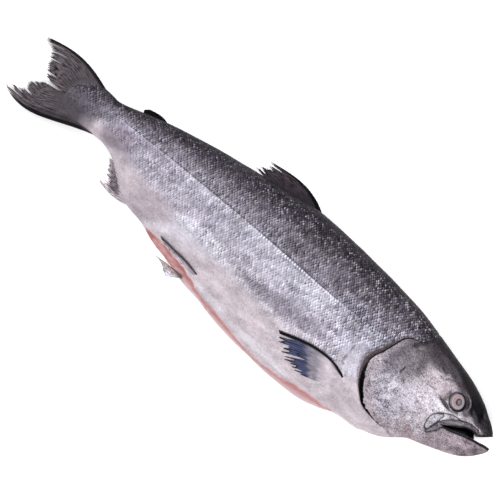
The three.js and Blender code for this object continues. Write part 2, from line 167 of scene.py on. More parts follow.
def nearest(stroke, x, y):  # how far off, how far along, which side, and what the line carries there
    x0, x1, y0, y1 = stroke["box"]
    if not (x0 < x < x1 and y0 < y < y1):
        return None
    line, best = stroke["line"], None
    for i in range(len(line) - 1):
        ax, ay, bx, by = *line[i][:2], *line[i + 1][:2]
        dx, dy = bx - ax, by - ay
        t = ((x - ax) * dx + (y - ay) * dy) / (dx * dx + dy * dy)
        t = 0 if t < 0 else 1 if t > 1 else t
        ex, ey = x - ax - t * dx, y - ay - t * dy
        gap = ex * ex + ey * ey
        if best is None or gap < best[0]:
            best = (gap, i, t, dx * ey - dy * ex)
    gap, i, t, turn = best
    carried = line[i][2] + (line[i + 1][2] - line[i][2]) * t if len(line[i]) > 2 else 0
    return math.sqrt(gap), (i + t) / (len(line) - 1), 1 if turn > 0 else -1, carried


# the fish's own box in the frame says where the drawing goes
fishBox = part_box("fish")
lowestBelly = min(body["belly"](x) for x in range(60, 200))
jawTip = bodyLines["back"][-1][0]
toFrame = Matrix.Translation((fishBox[1].x - jawTip / 1000, fishBox[0].y - lowestBelly / 1000, 0))
toFrame = toFrame @ Matrix.Scale(0.001, 4)

# the camera looks down, tilted a little towards the belly, and turned so that the head points down right
shot = {
    "distance": 3.0, "height": 0.045,  # metres from the camera to what it aims at, and that over the table
    "tilt": 10, "turn": 39.6,  # degrees
    "pixel": 0.001258, "picture": 500, "sensor": 36,  # metres to a pixel, pixels and millimetres
}


def makeCamera():
    tilt, turn = math.radians(shot["tilt"]), math.radians(shot["turn"])
    back = Vector((0, -math.sin(tilt), math.cos(tilt)))
    alongFish, acrossFish = Vector((1, 0, 0)), Vector((0, math.cos(tilt), math.sin(tilt)))
    right = alongFish * math.cos(turn) + acrossFish * math.sin(turn)
    up = acrossFish * math.cos(turn) - alongFish * math.sin(turn)
    data = bpy.data.cameras.new("camera")
    data.sensor_width = shot["sensor"]
    data.lens = shot["sensor"] * shot["distance"] / (shot["picture"] * shot["pixel"])
    camera = bpy.data.objects.new("camera", data)
    target = toFrame @ Vector((0, 0, 0)) + Vector((0, 0, shot["height"]))
    place = Matrix((right, up, back)).transposed().to_4x4()
    camera.matrix_world = Matrix.Translation(target + back * shot["distance"]) @ place
    bpy.context.scene.collection.objects.link(camera)
    bpy.context.scene.camera = camera


makeCamera()


def hexColor(text):  # an sRGB hex value as linear colour
    channels = [int(text[i:i + 2], 16) / 255 for i in (1, 3, 5)]
    return tuple(c / 12.92 if c <= 0.04045 else ((c + 0.055) / 1.055) ** 2.4 for c in channels) + (1,)


# A Mix node's inputs go by number: 0 is its factor, and its two sides are 2 and 3 for values, 4 and 5 for
# vectors, and 6 and 7 for colours. Those of Math and Map Range nodes are in their usual order.
def addNode(tree, kind, links=None, stops=None, **settings):  # a node with its settings, inputs and ramp
    node = tree.nodes.new("ShaderNode" + kind)
    for name, value in settings.items():
        setattr(node, name, value)
    for name, value in (links or {}).items():
        if isinstance(value, bpy.types.Node):
            value = next(socket for socket in value.outputs if socket.enabled)
        if isinstance(value, bpy.types.NodeSocket):
            tree.links.new(value, node.inputs[name])
        else:
            node.inputs[name].default_value = value
    if stops:
        ramp = node.color_ramp
        while len(ramp.elements) < len(stops):
            ramp.elements.new(1)
        for element, (position, color) in zip(ramp.elements, stops):
            element.position = position
            element.color = hexColor(color) if isinstance(color, str) else (color, color, color, 1)
    return node


def newMaterial(name, **sockets):  # a material whose even values are set on the shader itself
    material = bpy.data.materials.new(name)
    material.use_nodes = True
    shader = material.node_tree.nodes["Principled BSDF"]
    for socket, value in sockets.items():
        shader.inputs[socket.replace("_", " ")].default_value = value
    return material, material.node_tree, shader


# what the painting tells the skin's material at each point
feltNames = ("tone", "onHead", "scaly", "mottled", "glintShare", "offLine", "lined", "dotted")
skinLook = {
    "scalePitch": 0.0038, "rowPitch": 0.0062,  # metres from scale to scale along the fish, and up it
    "curl": -2,  # how far the free edge of a scale curves back, for each square of a row
    "wave": 0.016, "sway": 0.005,  # metres: the waves in the rows of scales, and how far they go
    "beadPitch": 0.0039,  # metres from one scale of the lateral line to the next
    "paleRow": (-1.5, 1.3, 0.9), "crease": (0.7, 0.8, -0.42),  # millimetres off, half width, strength
    "unbeaded": 0.15,  # the pale row where it isn't broken into beads
    "grainLift": 0.35, "relief": 0.0006, "darkest": 0.2,
    # the colour of the painted glints
    "glintInk": "#bdbac5",
    "tints": [(0, "#f2f3ff"), (0.5, "#ffffff"), (0.75, "#fbfcff"), (1, "#f0f4ff")],
    "noises": {  # millimetres along, across and up, then detail and roughness
        "patch": ((30, 16, 16), 4, 0.7), "clump": ((8.5, 8.5, 8.5), 3, 0.75),
        "streak": ((2.6, 12, 12), 2, 0.5), "grain": ((2.2, 2.2, 2.2), 2, 0.6),
        "cloud": ((8.5, 8.5, 8.5), 5, 0.75), "brush": ((14, 3.2, 3.2), 3, 0.6),
        "rime": ((1.5, 1.5, 1.5), 1, 0.5),
    },
    "marks": {  # what each mark reads, from and to which value, and its strength at these two
        "rim": ("ahead", 0.05, 0.36, 1.2, 0),  # painted highlight on the free edge of a scale
        "dash": ("off", 0.03, 0.18, 1, 0.2),  # brightest in the middle of its row
        "glint": ("Green", 0, 1, 0.25, 1.7),
        "shade": ("under", 0.66, 0.95, 0, -0.75),  # painted shadow where the next scale covers it
        "bright": ("Red", 0, 1, -0.7, 0.34),  # each scale's own tone
        "plain": ("clump", 0.35, 0.62, 0.35, 1.5),  # where the scales show less, and more
        "clumps": ("clump", 0.33, 0.62, -0.32, 0.18),
        "lines": ("streak", 0.3, 0.65, -0.3, 0.2),
        "mottle": ("cloud", 0.32, 0.66, -0.5, 0.5),
        "hairs": ("brush", 0.3, 0.7, -0.2, 0.2),
        "frost": ("rime", 0.3, 0.7, -0.5, 0.5),
        "spark": ("Green", 0.5, 0.75, 0, 1),  # painted glints: a few scales that catch the light
        "front": ("ahead", 0.3, 0.5, 1, 0),
        "dot": ("off", 0.03, 0.09, 1, 0),
        "cluster": ("clump", 0.46, 0.6, 0.08, 1),
        "bead": ("beat", -0.3, 0.4, 0, 1),
        "broad": ("patch", 0.32, 0.68, -0.26, 0.22),
        "fine": ("grain", 0.3, 0.7, -0.15, 0.15),
        "lean": ("Blue", 0, 1, -0.9, 0.3),
        "gloss": ("Blue", 0, 1, 0.34, 0.54),
        "silver": ("tone", 0.55, 0.85, 0.24, 0.03),
    },
    "waver": {"trunk": 0.05, "head": 0.3},  # how much the broad patches shift the ramps below
    "trunk": [  # from belly to back
        (0, "#b0a5ab"), (0.16, "#b3a8af"), (0.21, "#b0a8b0"), (0.26, "#a9a3ad"), (0.35, "#a8a3af"),
        (0.44, "#aba7b3"), (0.49, "#b0adb8"), (0.51, "#8b8690"), (0.58, "#88828c"), (0.66, "#7c767f"),
        (0.74, "#5e575f"), (0.82, "#453f46"), (0.9, "#342f36"), (1, "#251f25"),
    ],
    "head": [
        (0, "#857a80"), (0.25, "#958a91"), (0.4, "#aaa3ab"), (0.52, "#aba2a9"), (0.6, "#857b82"),
        (0.68, "#4f484e"), (0.76, "#383237"), (0.88, "#262126"), (1, "#1c171c"),
    ],
}


def scaleRows(tree, girth, place):  # overlapping scales in staggered rows, each one rounded at its free edge
    wander = addNode(
        tree, "TexNoise", {"Vector": place, "Scale": 1 / skinLook["wave"], "Detail": 3, "Roughness": 0.62})
    sway = (skinLook["sway"], skinLook["sway"], 0)
    uneven = addNode(
        tree, "VectorMath", {0: wander.outputs["Color"], 1: sway, 2: girth}, operation="MULTIPLY_ADD")
    net = addNode(tree, "SeparateXYZ", {"Vector": uneven})
    forward, up = [
        addNode(tree, "Math", {0: net.outputs[axis], 1: 1 / skinLook[pitch]}, operation="MULTIPLY")
        for axis, pitch in (("X", "scalePitch"), ("Y", "rowPitch"))
    ]
    shares, names, offs = [], [], []
    for shift in (0, 0.5):  # every second row is set half a scale further back
        level = addNode(tree, "Math", {0: up, 1: shift}, operation="ADD")
        row = addNode(tree, "Math", {0: level}, operation="ROUND")
        off = addNode(tree, "Math", {0: level, 1: row}, operation="SUBTRACT")
        off = addNode(tree, "Math", {0: off, 1: off}, operation="MULTIPLY")
        offs.append(off)
        edge = addNode(tree, "Math", {0: off, 1: skinLook["curl"], 2: forward}, operation="MULTIPLY_ADD")
        edge = addNode(tree, "Math", {0: edge, 1: shift}, operation="ADD")
        shares.append(addNode(tree, "Math", {0: edge}, operation="FRACT"))
        column = addNode(tree, "Math", {0: edge}, operation="FLOOR")
        names.append(addNode(tree, "CombineXYZ", {"X": column, "Y": row, "Z": shift}))
    first, ahead, under = [
        addNode(tree, "Math", {0: shares[0], 1: shares[1]}, operation=operation)
        for operation in ("LESS_THAN", "MINIMUM", "MAXIMUM")
    ]
    name = addNode(tree, "Mix", {0: first, 4: names[1], 5: names[0]}, data_type="VECTOR")
    chance = addNode(tree, "TexWhiteNoise", {"Vector": name}, noise_dimensions="3D")
    off = addNode(tree, "Mix", {0: first, 2: offs[1], 3: offs[0]})
    return ahead, under, off, addNode(tree, "SeparateColor", {"Color": chance.outputs["Color"]})


def skinMaterial():  # wet scaled skin: thin silvery scales over slate and white, glossy with slime
    material, tree, shader = newMaterial("wetScaledSkin", IOR=1.38, Specular_IOR_Level=0.05)
    place = addNode(tree, "TexCoord").outputs["Object"]
    girth = addNode(tree, "UVMap", uv_map="girth")
    paint = addNode(tree, "Attribute", attribute_name="paint")
    felt = {
        name: addNode(tree, "Attribute", attribute_name=name).outputs["Fac"] for name in feltNames
    }
    ahead, under, off, chance = scaleRows(tree, girth, place)
    beat = addNode(tree, "SeparateXYZ", {"Vector": place}).outputs["X"]
    beat = addNode(tree, "Math", {0: beat, 1: 2 * math.pi / skinLook["beadPitch"]}, operation="MULTIPLY")
    beat = addNode(tree, "Math", {0: beat}, operation="SINE")
    read = {"ahead": ahead, "under": under, "off": off, "beat": beat, "tone": felt["tone"]}
    read.update((channel, chance.outputs[channel]) for channel in ("Red", "Green", "Blue"))
    for name, (sizes, detail, roughness) in skinLook["noises"].items():
        stretched = addNode(tree, "Mapping", {"Vector": place, "Scale": [1000 / size for size in sizes]})
        read[name] = addNode(
            tree, "TexNoise", {"Vector": stretched, "Scale": 1, "Detail": detail, "Roughness": roughness})
    mark = {
        name: addNode(tree, "MapRange", dict(enumerate((read[source], *span))))
        for name, (source, *span) in skinLook["marks"].items()
    }
    # the colour from belly to back, on the trunk and on the head, and the painted patches over it
    level = addNode(tree, "Math", {0: read["patch"], 1: 0.5}, operation="SUBTRACT")
    ramps = []
    for part, waver in skinLook["waver"].items():
        tone = addNode(tree, "Math", {0: level, 1: waver, 2: felt["tone"]}, operation="MULTIPLY_ADD")
        ramps.append(addNode(tree, "ValToRGB", {"Fac": tone}, stops=skinLook[part]))
    base = addNode(tree, "Mix", {0: felt["onHead"], 6: ramps[0], 7: ramps[1]}, data_type="RGBA")
    base = addNode(
        tree, "Mix", {0: paint.outputs["Alpha"], 6: base, 7: paint.outputs["Color"]}, data_type="RGBA")
    # painted highlight at each scale's free edge and painted shadow where the next one covers it, more so in
    # some places
    scale = mark["rim"]
    for name, operation in (
        ("dash", "MULTIPLY"), ("glint", "MULTIPLY"), ("shade", "ADD"), ("bright", "ADD"),
        ("plain", "MULTIPLY"), ("clumps", "ADD"), ("lines", "ADD"),
    ):
        scale = addNode(tree, "Math", {0: scale, 1: mark[name]}, operation=operation)
    total = addNode(tree, "Math", {0: scale, 1: felt["scaly"], 2: 1.0}, operation="MULTIPLY_ADD")
    # the head is bare of scales, but mottled, frosted and finely streaked along its length
    hairs = addNode(tree, "Math", {0: mark["hairs"], 1: mark["frost"]}, operation="ADD")
    for term, where in ((mark["mottle"], "mottled"), (hairs, "onHead")):
        total = addNode(tree, "Math", {0: term, 1: felt[where], 2: total}, operation="MULTIPLY_ADD")
    # painted glints: single scales and clusters of them that catch the light on the dark back
    spark = mark["spark"]
    for term in (mark["front"], mark["dot"], mark["cluster"], felt["glintShare"]):
        spark = addNode(tree, "Math", {0: spark, 1: term}, operation="MULTIPLY")
    # the lateral line: a dark crease over a row of pale scales
    beads = addNode(tree, "Mix", {0: felt["dotted"], 2: skinLook["unbeaded"], 3: mark["bead"]})
    rows = []
    for middle, half, strength in (skinLook["paleRow"], skinLook["crease"]):
        row = addNode(tree, "Math", {0: felt["offLine"], 1: middle, 2: half}, operation="COMPARE")
        rows.append(addNode(tree, "Math", {0: row, 1: strength}, operation="MULTIPLY"))
    line = addNode(tree, "Math", {0: rows[0], 1: beads, 2: rows[1]}, operation="MULTIPLY_ADD")
    line = addNode(tree, "Math", {0: line, 1: felt["lined"]}, operation="MULTIPLY")
    for term in (line, mark["broad"], mark["fine"]):
        total = addNode(tree, "Math", {0: total, 1: term}, operation="ADD")
    total = addNode(tree, "Math", {0: total, 1: skinLook["darkest"]}, operation="MAXIMUM")
    grey = addNode(tree, "CombineColor", {"Red": total, "Green": total, "Blue": total})
    tint = addNode(tree, "ValToRGB", {"Fac": chance.outputs["Green"]}, stops=skinLook["tints"])
    glintInk = hexColor(skinLook["glintInk"])
    for share, color, blend in (
        (1.0, grey, "MULTIPLY"), (felt["scaly"], tint, "MULTIPLY"), (spark, glintInk, "MIX"),
    ):
        base = addNode(tree, "Mix", {0: share, 6: base, 7: color}, data_type="RGBA", blend_type=blend)
    # each scale rises to its free edge and leans its own way, which makes the flank glitter
    height = ahead
    for term in (mark["lean"], felt["scaly"]):
        height = addNode(tree, "Math", {0: height, 1: term}, operation="MULTIPLY")
    height = addNode(
        tree, "Math", {0: read["grain"], 1: skinLook["grainLift"], 2: height}, operation="MULTIPLY_ADD")
    bump = addNode(tree, "Bump", {"Height": height, "Strength": 0.5, "Distance": skinLook["relief"]})
    silver = addNode(
        tree, "Math", {0: felt["scaly"], 1: mark["silver"]}, operation="MULTIPLY", use_clamp=True)
    for name, output in (
        ("Base Color", base.outputs[2]), ("Roughness", mark["gloss"].outputs[0]),
        ("Metallic", silver.outputs[0]), ("Normal", bump.outputs[0]),
    ):
        tree.links.new(output, shader.inputs[name])
    return material


finLook = {
    "grain": 0.002, "blotch": 0.008,  # metres
    "spotScale": 0.8, "spotRows": 6, "relief": 0.0005,
    "marks": {  # what each mark reads, from and to which value, and its strength at these two
        "rays": ("ray", 0, 1, -0.4, 0.6),
        "fine": ("grain", 0.3, 0.7, -0.35, 0.35),
        "lines": ("streak", 0.3, 0.7, -0.85, 1.2),
        "spot": ("spots", 0.14, 0.34, -0.55, 0),
        "broad": ("blotch", 0.3, 0.7, 0.8, 1.2),
    },
}


def finMaterial():  # thin wet skin between soft bony rays, with small black spots
    material, tree, shader = newMaterial("finMembrane", Roughness=0.5, IOR=1.38, Specular_IOR_Level=0.05)
    place = addNode(tree, "TexCoord").outputs["Object"]
    paint = addNode(tree, "Attribute", attribute_name="paint")
    read = {
        name: addNode(tree, "Attribute", attribute_name=name).outputs["Fac"]
        for name in ("ray", "streaks", "outward", "clear")
    }
    for name in ("grain", "blotch"):
        read[name] = addNode(tree, "TexNoise", {"Vector": place, "Scale": 1 / finLook[name], "Detail": 3})
    outward = addNode(tree, "Math", {0: read["outward"], 1: finLook["spotRows"]}, operation="MULTIPLY")
    fan = addNode(tree, "CombineXYZ", {"X": read["streaks"], "Y": outward})
    read["streak"] = addNode(tree, "TexNoise", {"Vector": fan, "Scale": 1, "Detail": 3})
    read["spots"] = addNode(
        tree, "TexVoronoi", {"Vector": fan, "Scale": finLook["spotScale"], "Randomness": 1},
        voronoi_dimensions="2D").outputs["Distance"]
    mark = {
        name: addNode(tree, "MapRange", dict(enumerate((read[source], *span))))
        for name, (source, *span) in finLook["marks"].items()
    }
    total = mark["rays"]
    for name in ("fine", "lines", "spot"):
        total = addNode(tree, "Math", {0: total, 1: mark[name]}, operation="ADD")
    total = addNode(tree, "Math", {0: total, 1: read["clear"], 2: mark["broad"]}, operation="MULTIPLY_ADD")
    grey = addNode(tree, "CombineColor", {"Red": total, "Green": total, "Blue": total})
    base = addNode(
        tree, "Mix", {0: 1.0, 6: paint.outputs["Color"], 7: grey}, data_type="RGBA", blend_type="MULTIPLY")
    bump = addNode(tree, "Bump", {"Height": read["streak"], "Strength": 0.4, "Distance": finLook["relief"]})
    tree.links.new(base.outputs[2], shader.inputs["Base Color"])
    tree.links.new(bump.outputs[0], shader.inputs["Normal"])
    return material


fleshLook = {
    "fibre": (0.014, 0.004, 0.006),  # metres: the streaks' length, width and depth
    "meat": [(0.3, "#8f4542"), (0.42, "#a4605c"), (0.52, "#b5817f"), (0.62, "#c09a9c"), (0.72, "#c6b4ba")],
}


def fleshMaterial():  # moist cut belly muscle, pale pink with redder streaks
    material, tree, shader = newMaterial(
        "pinkFlesh", Roughness=0.35, IOR=1.38, Subsurface_Weight=0.15, Subsurface_Scale=0.004)
    place = addNode(tree, "TexCoord").outputs["Object"]
    paint = addNode(tree, "Attribute", attribute_name="paint")
    stretched = addNode(
        tree, "Mapping", {"Vector": place, "Scale": [1 / size for size in fleshLook["fibre"]]})
    fibre = addNode(tree, "TexNoise", {"Vector": stretched, "Scale": 1, "Detail": 5, "Roughness": 0.7})
    meat = addNode(tree, "ValToRGB", {"Fac": fibre}, stops=fleshLook["meat"])
    base = addNode(
        tree, "Mix", {0: paint.outputs["Alpha"], 6: meat, 7: paint.outputs["Color"]}, data_type="RGBA")
    bump = addNode(tree, "Bump", {"Height": fibre, "Strength": 0.5, "Distance": 0.0008})
    tree.links.new(base.outputs[2], shader.inputs["Base Color"])
    tree.links.new(bump.outputs[0], shader.inputs["Normal"])
    return material


def liningMaterial(name, dark, light):  # wet, nearly black skin of the gums, also painted shadow deep in the gill slit, and the membrane under the gill cover
    material, tree, shader = newMaterial(name, Roughness=0.5, IOR=1.38, Specular_IOR_Level=0.3)
    place = addNode(tree, "TexCoord").outputs["Object"]
    folds = addNode(tree, "TexNoise", {"Vector": place, "Scale": 1 / 0.004, "Detail": 3})
    base = addNode(tree, "ValToRGB", {"Fac": folds}, stops=[(0.35, dark), (0.7, light)])
    bump = addNode(tree, "Bump", {"Height": folds, "Strength": 0.4, "Distance": 0.0008})
    tree.links.new(base.outputs["Color"], shader.inputs["Base Color"])
    tree.links.new(bump.outputs[0], shader.inputs["Normal"])
    return material


def eyeMaterial():  # clouded wet eyeball: a dull pupil, a pinkish grey iris and a black ring
    material, tree, shader = newMaterial(
        "cloudedEye", Roughness=0.45, IOR=1.38, Specular_IOR_Level=0.1, Coat_Weight=0.12, Coat_Roughness=0.1)
    place = addNode(tree, "TexCoord").outputs["Object"]
    paint = addNode(tree, "Attribute", attribute_name="paint")
    grain = addNode(tree, "TexNoise", {"Vector": place, "Scale": 1 / 0.0012, "Detail": 2})
    shade = addNode(tree, "MapRange", {0: grain, 1: 0.3, 2: 0.7, 3: 0.88, 4: 1.1})
    grey = addNode(tree, "CombineColor", {"Red": shade, "Green": shade, "Blue": shade})
    base = addNode(
        tree, "Mix", {0: 1.0, 6: paint.outputs["Color"], 7: grey}, data_type="RGBA", blend_type="MULTIPLY")
    tree.links.new(base.outputs[2], shader.inputs["Base Color"])
    return material


skin, membrane, flesh = skinMaterial(), finMaterial(), fleshMaterial()
gumsAndShadow = liningMaterial("blackGumsAndShadow", "#0e0c0e", "#1d1a1d")
underCover = liningMaterial("gillMembrane", "#3d3336", "#5f5257")
eyeball = eyeMaterial()
print("materials made")


def tubeThrough(rings):  # a closed tube through rings of equally many points
    bm = bmesh.new()
    around, length = len(rings[0]), len(rings) - 1
    bmesh.ops.create_grid(bm, x_segments=length, y_segments=around, size=1)
    for vert in bm.verts:
        i, j = round((vert.co.x + 1) / 2 * length), round((vert.co.y + 1) / 2 * around)
        vert.co = rings[i][j % around]
    bmesh.ops.remove_doubles(bm, verts=bm.verts, dist=1e-4)
    bmesh.ops.holes_fill(bm, edges=[edge for edge in bm.edges if edge.is_boundary], sides=0)
    bmesh.ops.recalc_face_normals(bm, faces=bm.faces)
    return bm


# a thick sheet: place(u, v) gives x, y and the heights of both faces, and keep(u, v) says what isn't torn off
def sheetOver(columns, rows, place, keep=None):
    bm = bmesh.new()
    bmesh.ops.create_grid(bm, x_segments=columns, y_segments=rows, size=1)
    across, outward = bm.verts.layers.float.new("across"), bm.verts.layers.float.new("outward")
    for vert in bm.verts:
        vert[across], vert[outward] = (vert.co.x + 1) / 2, (vert.co.y + 1) / 2
    if keep:
        torn = [
            face for face in bm.faces
            if not keep((face.calc_center_median().x + 1) / 2, (face.calc_center_median().y + 1) / 2)
        ]
        bmesh.ops.delete(bm, geom=torn, context="FACES")
    lower = set(bm.verts)
    bmesh.ops.extrude_face_region(bm, geom=list(bm.faces), use_keep_orig=True)
    for vert in bm.verts:
        x, y, low, high = place(vert[across], vert[outward])
        vert.co = (x, y, low if vert in lower else high)
    bmesh.ops.recalc_face_normals(bm, faces=bm.faces)
    return bm


def addPiece(name, bm, materials, turnSharp=60):  # a finished mesh as an object at the origin of the frame
    for face in bm.faces:
        face.smooth = True
    for edge in bm.edges:
        edge.smooth = edge.calc_face_angle(0) < math.radians(turnSharp)
    bmesh.ops.transform(bm, matrix=toFrame, verts=bm.verts)
    mesh = bpy.data.meshes.new(name)
    bm.to_mesh(mesh)
    bm.free()
    for material in materials:
        mesh.materials.append(material)
    piece = bpy.data.objects.new(name, mesh)
    bpy.context.scene.collection.objects.link(piece)
    return piece


def softPatch(a, b):  # 1 well inside a patch, 0 outside it; a and b are parts of its half sizes
    return smooth((1.3 - math.hypot(a, b)) / 0.6)


def paintOver(under, color, share):  # lays a colour with a share over one that has its own share
    whole = share + under[3] * (1 - share)
    if whole < 1e-6:
        return (0, 0, 0, 0)
    mixed = [(c * share + u * under[3] * (1 - share)) / whole for c, u in zip(color, under)]
    return (*mixed, whole)


# the head's forms, in millimetres on the flank
head = {
    "gillEdge": [
        (238, 41), (228, 37.5), (219, 30), (214.5, 18), (208, 0), (203.5, -9), (201.5, -19), (204.5, -29),
        (209.5, -38), (215, -46), (222, -54), (229.5, -61.5), (240, -66), (252, -68), (266, -68.5),
    ],
    "gape": [0.8, 1, 1.6, 3.4, 5.6, 6.4, 6.8, 7.2, 7.2, 6.4, 4.8, 3, 1.6, 1, 0.7],
    "black": [  # its share of the gape, given the near-black finish as painted shadow
        (0, 0.8), (0.14, 0.5), (0.22, 0.26), (0.3, 0.16), (0.43, 0.16), (0.5, 0.4), (0.57, 0.72),
        (0.64, 0.88), (1, 0.95),
    ],
    "deep": [(0, 0.4), (0.15, 0.3), (0.42, 0.3), (0.5, 0.55), (0.6, 1), (0.85, 1), (1, 0.5)],
    "slitDepth": [(0, 9), (0.32, 7), (0.5, 2.6), (0.8, 1.2), (1, 0.7)],  # from the cover out to the membrane
    "slitFrom": (262, -11),  # the slit opens away from this point
    "formsFrom": 165,  # nothing of the head lies behind this
    "trunkTo": 215,  # away from the head's drawn edge, the trunk ends here
    "coverLift": 2.2, "jag": 2.4, "lipTwist": 0.17, "twistFrom": 362,
    "eye": (322, 17), "eyeRadius": 12.5, "eyeDepth": 6, "eyeProud": 2.2,
    "upperLip": [
        (322, -19.2), (336, -10.5), (345, -5), (353, 0.5), (361, 3), (369, 0.5), (372, 2.5), (379, 8),
        (386, 13.5), (405, 24),
    ],
    "lowerLip": [
        (322, -19.9), (338, -14.8), (352, -9.6), (365, -5.2), (378, -2), (384, 0), (394, 1.9), (405, 3.2),
    ],
    "plate": [
        (366, 6.5, 1.6), (352, 4, 2.6), (341, -2, 3), (331, -9.5, 3.2), (324, -17, 3.2), (319.5, -26, 3.4),
        (314, -34.5, 2.2),
    ],
    "plateBehind": [(317, -9.5, 1.6), (313, -15.5, 4.2), (310.5, -22.5, 5), (310.5, -31, 3.2)],
    "nostril": (358.5, 25.5),
    "hollow": ((350, -7), (31, 10.5, 12), 0.24),  # middle, half sizes and tilt of the mouth's inside
    "tongue": ((345, -9.8), (27, 9.5, 8.5), 0.33),
    "cleft": [(176, -40), (168, -45), (158, -47.5)],
    "nape": [(234, 33), (238, 39), (243, 47.6), (248, 55.2), (252, 65.6), (254, 76)],
    "shoulder": [(176, -16), (174.5, -24), (174.5, -32), (176, -38.5), (180, -44), (185, -48), (192, -53)],
    "cheekFold": [(246, 14), (241, 3), (239, -8), (238, -20), (243, -34), (255, -46), (272, -53)],
}
gillEdge = drawn([(x, y, gape) for (x, y), gape in zip(head["gillEdge"], head["gape"])], 45)
nape = drawn(head["nape"])
shoulder = drawn(head["shoulder"])
cleft = drawn(head["cleft"])
cheekFold = drawn(head["cheekFold"])
plates = [drawn(head["plate"]), drawn(head["plateBehind"])]
lips = [drawn([(x, y) for x, y in head[name] if x < 400]) for name in ("upperLip", "lowerLip")]
headEdge = drawn(
    [(262, 120), (254, 76), (250, 60), (243, 47.6)] + head["gillEdge"] + [(292, -72), (315, -90)], 8)
relief = {  # millimetres that the skin stands out or is sunk in, and how wide each form is
    "swell": 0.5, "swellSize": 34, "coverReach": 34, "coverBrim": 1.2,
    "creases": [(nape, 0.9, 1.8), (shoulder, 0.9, 1.4), (cleft, 0.7, 1.2), (cheekFold, 0.7, 2)],
    "plate": 1.7, "moat": 1.1, "moatOff": 0.7, "moatWidth": 0.8,
    "lip": 0.9, "lipWidth": 2.2, "lipFrom": 330,
    "nostril": [(0.5, 3.2, 1.2), (-2.4, 0, 1.9)],  # rings: height, radius and width
    "eye": [(0.9, 14, 1.5), (0.6, 18.5, 1.4)], "socket": 8, "socketRadius": 11,
}


def bell(off, width):  # 1 at the middle of a form, down to 0 beside it
    return math.exp(-((off / width) ** 2))


def reliefAt(x, y):  # how far the skin stands out there, or is sunk in
    lift = relief["swell"] * noise.noise(Vector((x, y, 0)) / relief["swellSize"])
    if x < head["formsFrom"]:
        return lift
    found = nearest(gillEdge, x, y)
    if found:
        off, share, side, _ = found
        fade = smooth(min(share, 1 - share) * 7)  # every form fades out at the ends of its line
        if side > 0:
            lift += head["coverLift"] * fade * smooth(1 - off / relief["coverReach"])
        elif off < relief["coverBrim"]:
            lift += head["coverLift"] * fade * (1 - off / relief["coverBrim"])
    for stroke, depth, width in relief["creases"]:
        found = nearest(stroke, x, y)
        if found:
            lift -= depth * bell(found[0], width) * smooth(min(found[1], 1 - found[1]) * 8)
    for plate in plates:
        found = nearest(plate, x, y)
        if found:
            off, half = found[0], found[3]
            lift += relief["plate"] * smooth((half - off) / 2)
            lift -= relief["moat"] * bell(off - half - relief["moatOff"], relief["moatWidth"])
    for lip in lips:
        found = nearest(lip, x, y)
        if found:
            lift += relief["lip"] * bell(found[0], relief["lipWidth"]) * smooth((x - relief["lipFrom"]) / 20)
    for name in ("nostril", "eye"):
        away = math.hypot(x - head[name][0], y - head[name][1])
        for height, radius, width in relief[name]:
            lift += height * bell(away - radius, width)
    return lift - relief["socket"] * (1 - smooth((away - relief["socketRadius"]) / 1.8))


# how finely the body is made, its bare patch and the flap's ragged edge
salmonBody = {
    "bareSkin": (184, -30, 16, 22),  # behind the gill cover: middle and half sizes
    "tailEnd": -308, "headStart": 196, "trunkRings": 170, "headRings": 150,
    "rightColumns": 165, "leftColumns": 110, "sectionSteps": 90, "tableStep": 6,
    "bellySteps": 130, "flapRagged": 0.9,
}


def sectionAt(x):  # half the girth, from back to belly: arc lengths, and y, z and the way out at each
    widest, steps = body["widest"](x), salmonBody["sectionSteps"]
    points = []
    for i in range(steps + 1):
        angle = math.pi * i / steps
        toBack, toSide = math.cos(angle), math.sin(angle)
        power = body["backPower" if toBack > 0 else "bellyPower"](x)
        depth = body["back"](x) - widest if toBack > 0 else widest - body["belly"](x)
        points.append((
            widest + depth * math.copysign(abs(toBack) ** (2 / power), toBack),
            body["halfWidth"](x) * abs(toSide) ** (2 / power),
        ))
    arcs = [0]
    for (ya, za), (yb, zb) in zip(points, points[1:]):
        arcs.append(arcs[-1] + math.hypot(yb - ya, zb - za))
    rows = []
    for i, (y, z) in enumerate(points):
        (ya, za), (yb, zb) = points[max(i - 1, 0)], points[min(i + 1, steps)]
        if i in (0, steps):  # straight out at the ridge and the keel
            za = -zb if i == 0 else za
            zb = -za if i == steps else zb
            ya, yb = (yb, yb) if i == 0 else (ya, ya)
        span = math.hypot(yb - ya, zb - za)
        rows.append((y, z, (zb - za) / span, (ya - yb) / span))
    return arcs, rows


def bodyStations():
    trunk, headRings = salmonBody["trunkRings"], salmonBody["headRings"]
    first, turn = salmonBody["tailEnd"], salmonBody["headStart"]
    stations = [first + (turn - first) * i / trunk for i in range(trunk)]
    return stations + [turn + (jawTip - turn) * (i / headRings) ** 0.95 for i in range(headRings + 1)]


def bodyRing(x):
    arcs, rows = sectionAt(x)
    right, left = salmonBody["rightColumns"], salmonBody["leftColumns"]
    ring = []
    for j in range(right + left):
        side = 1 if j < right else -1
        share = j / right if side > 0 else 1 - (j - right) / left
        want = share * arcs[-1]
        i = min(max(bisect_left(arcs, want) - 1, 0), len(arcs) - 2)
        t = (want - arcs[i]) / (arcs[i + 1] - arcs[i])
        y, z, outY, outZ = (a + (b - a) * t for a, b in zip(rows[i], rows[i + 1]))
        lift = reliefAt(x, y)
        y, z = y + outY * lift, z + outZ * lift
        ring.append(Vector((x, y, max(middleAt(x, y) + side * z, 0))))
    return ring


def mouthCutter():  # the wedge between the lips, right through the head
    upper, lower = along(head["upperLip"]), along(head["lowerLip"])
    first, last = head["upperLip"][0][0], head["upperLip"][-1][0]

    def place(u, v):
        x = first + (last - first) * u
        return x, lower(x) + (upper(x) - lower(x)) * v, -20, 90

    bm = sheetOver(70, 2, place)
    outward = bm.verts.layers.float["outward"]
    for vert in bm.verts:  # the upper lip of the lower side is drawn up a little
        if vert[outward] > 0.9:
            vert.co.y += head["lipTwist"] * (40 - vert.co.z) * smooth((vert.co.x - head["twistFrom"]) / 8)
    return bm


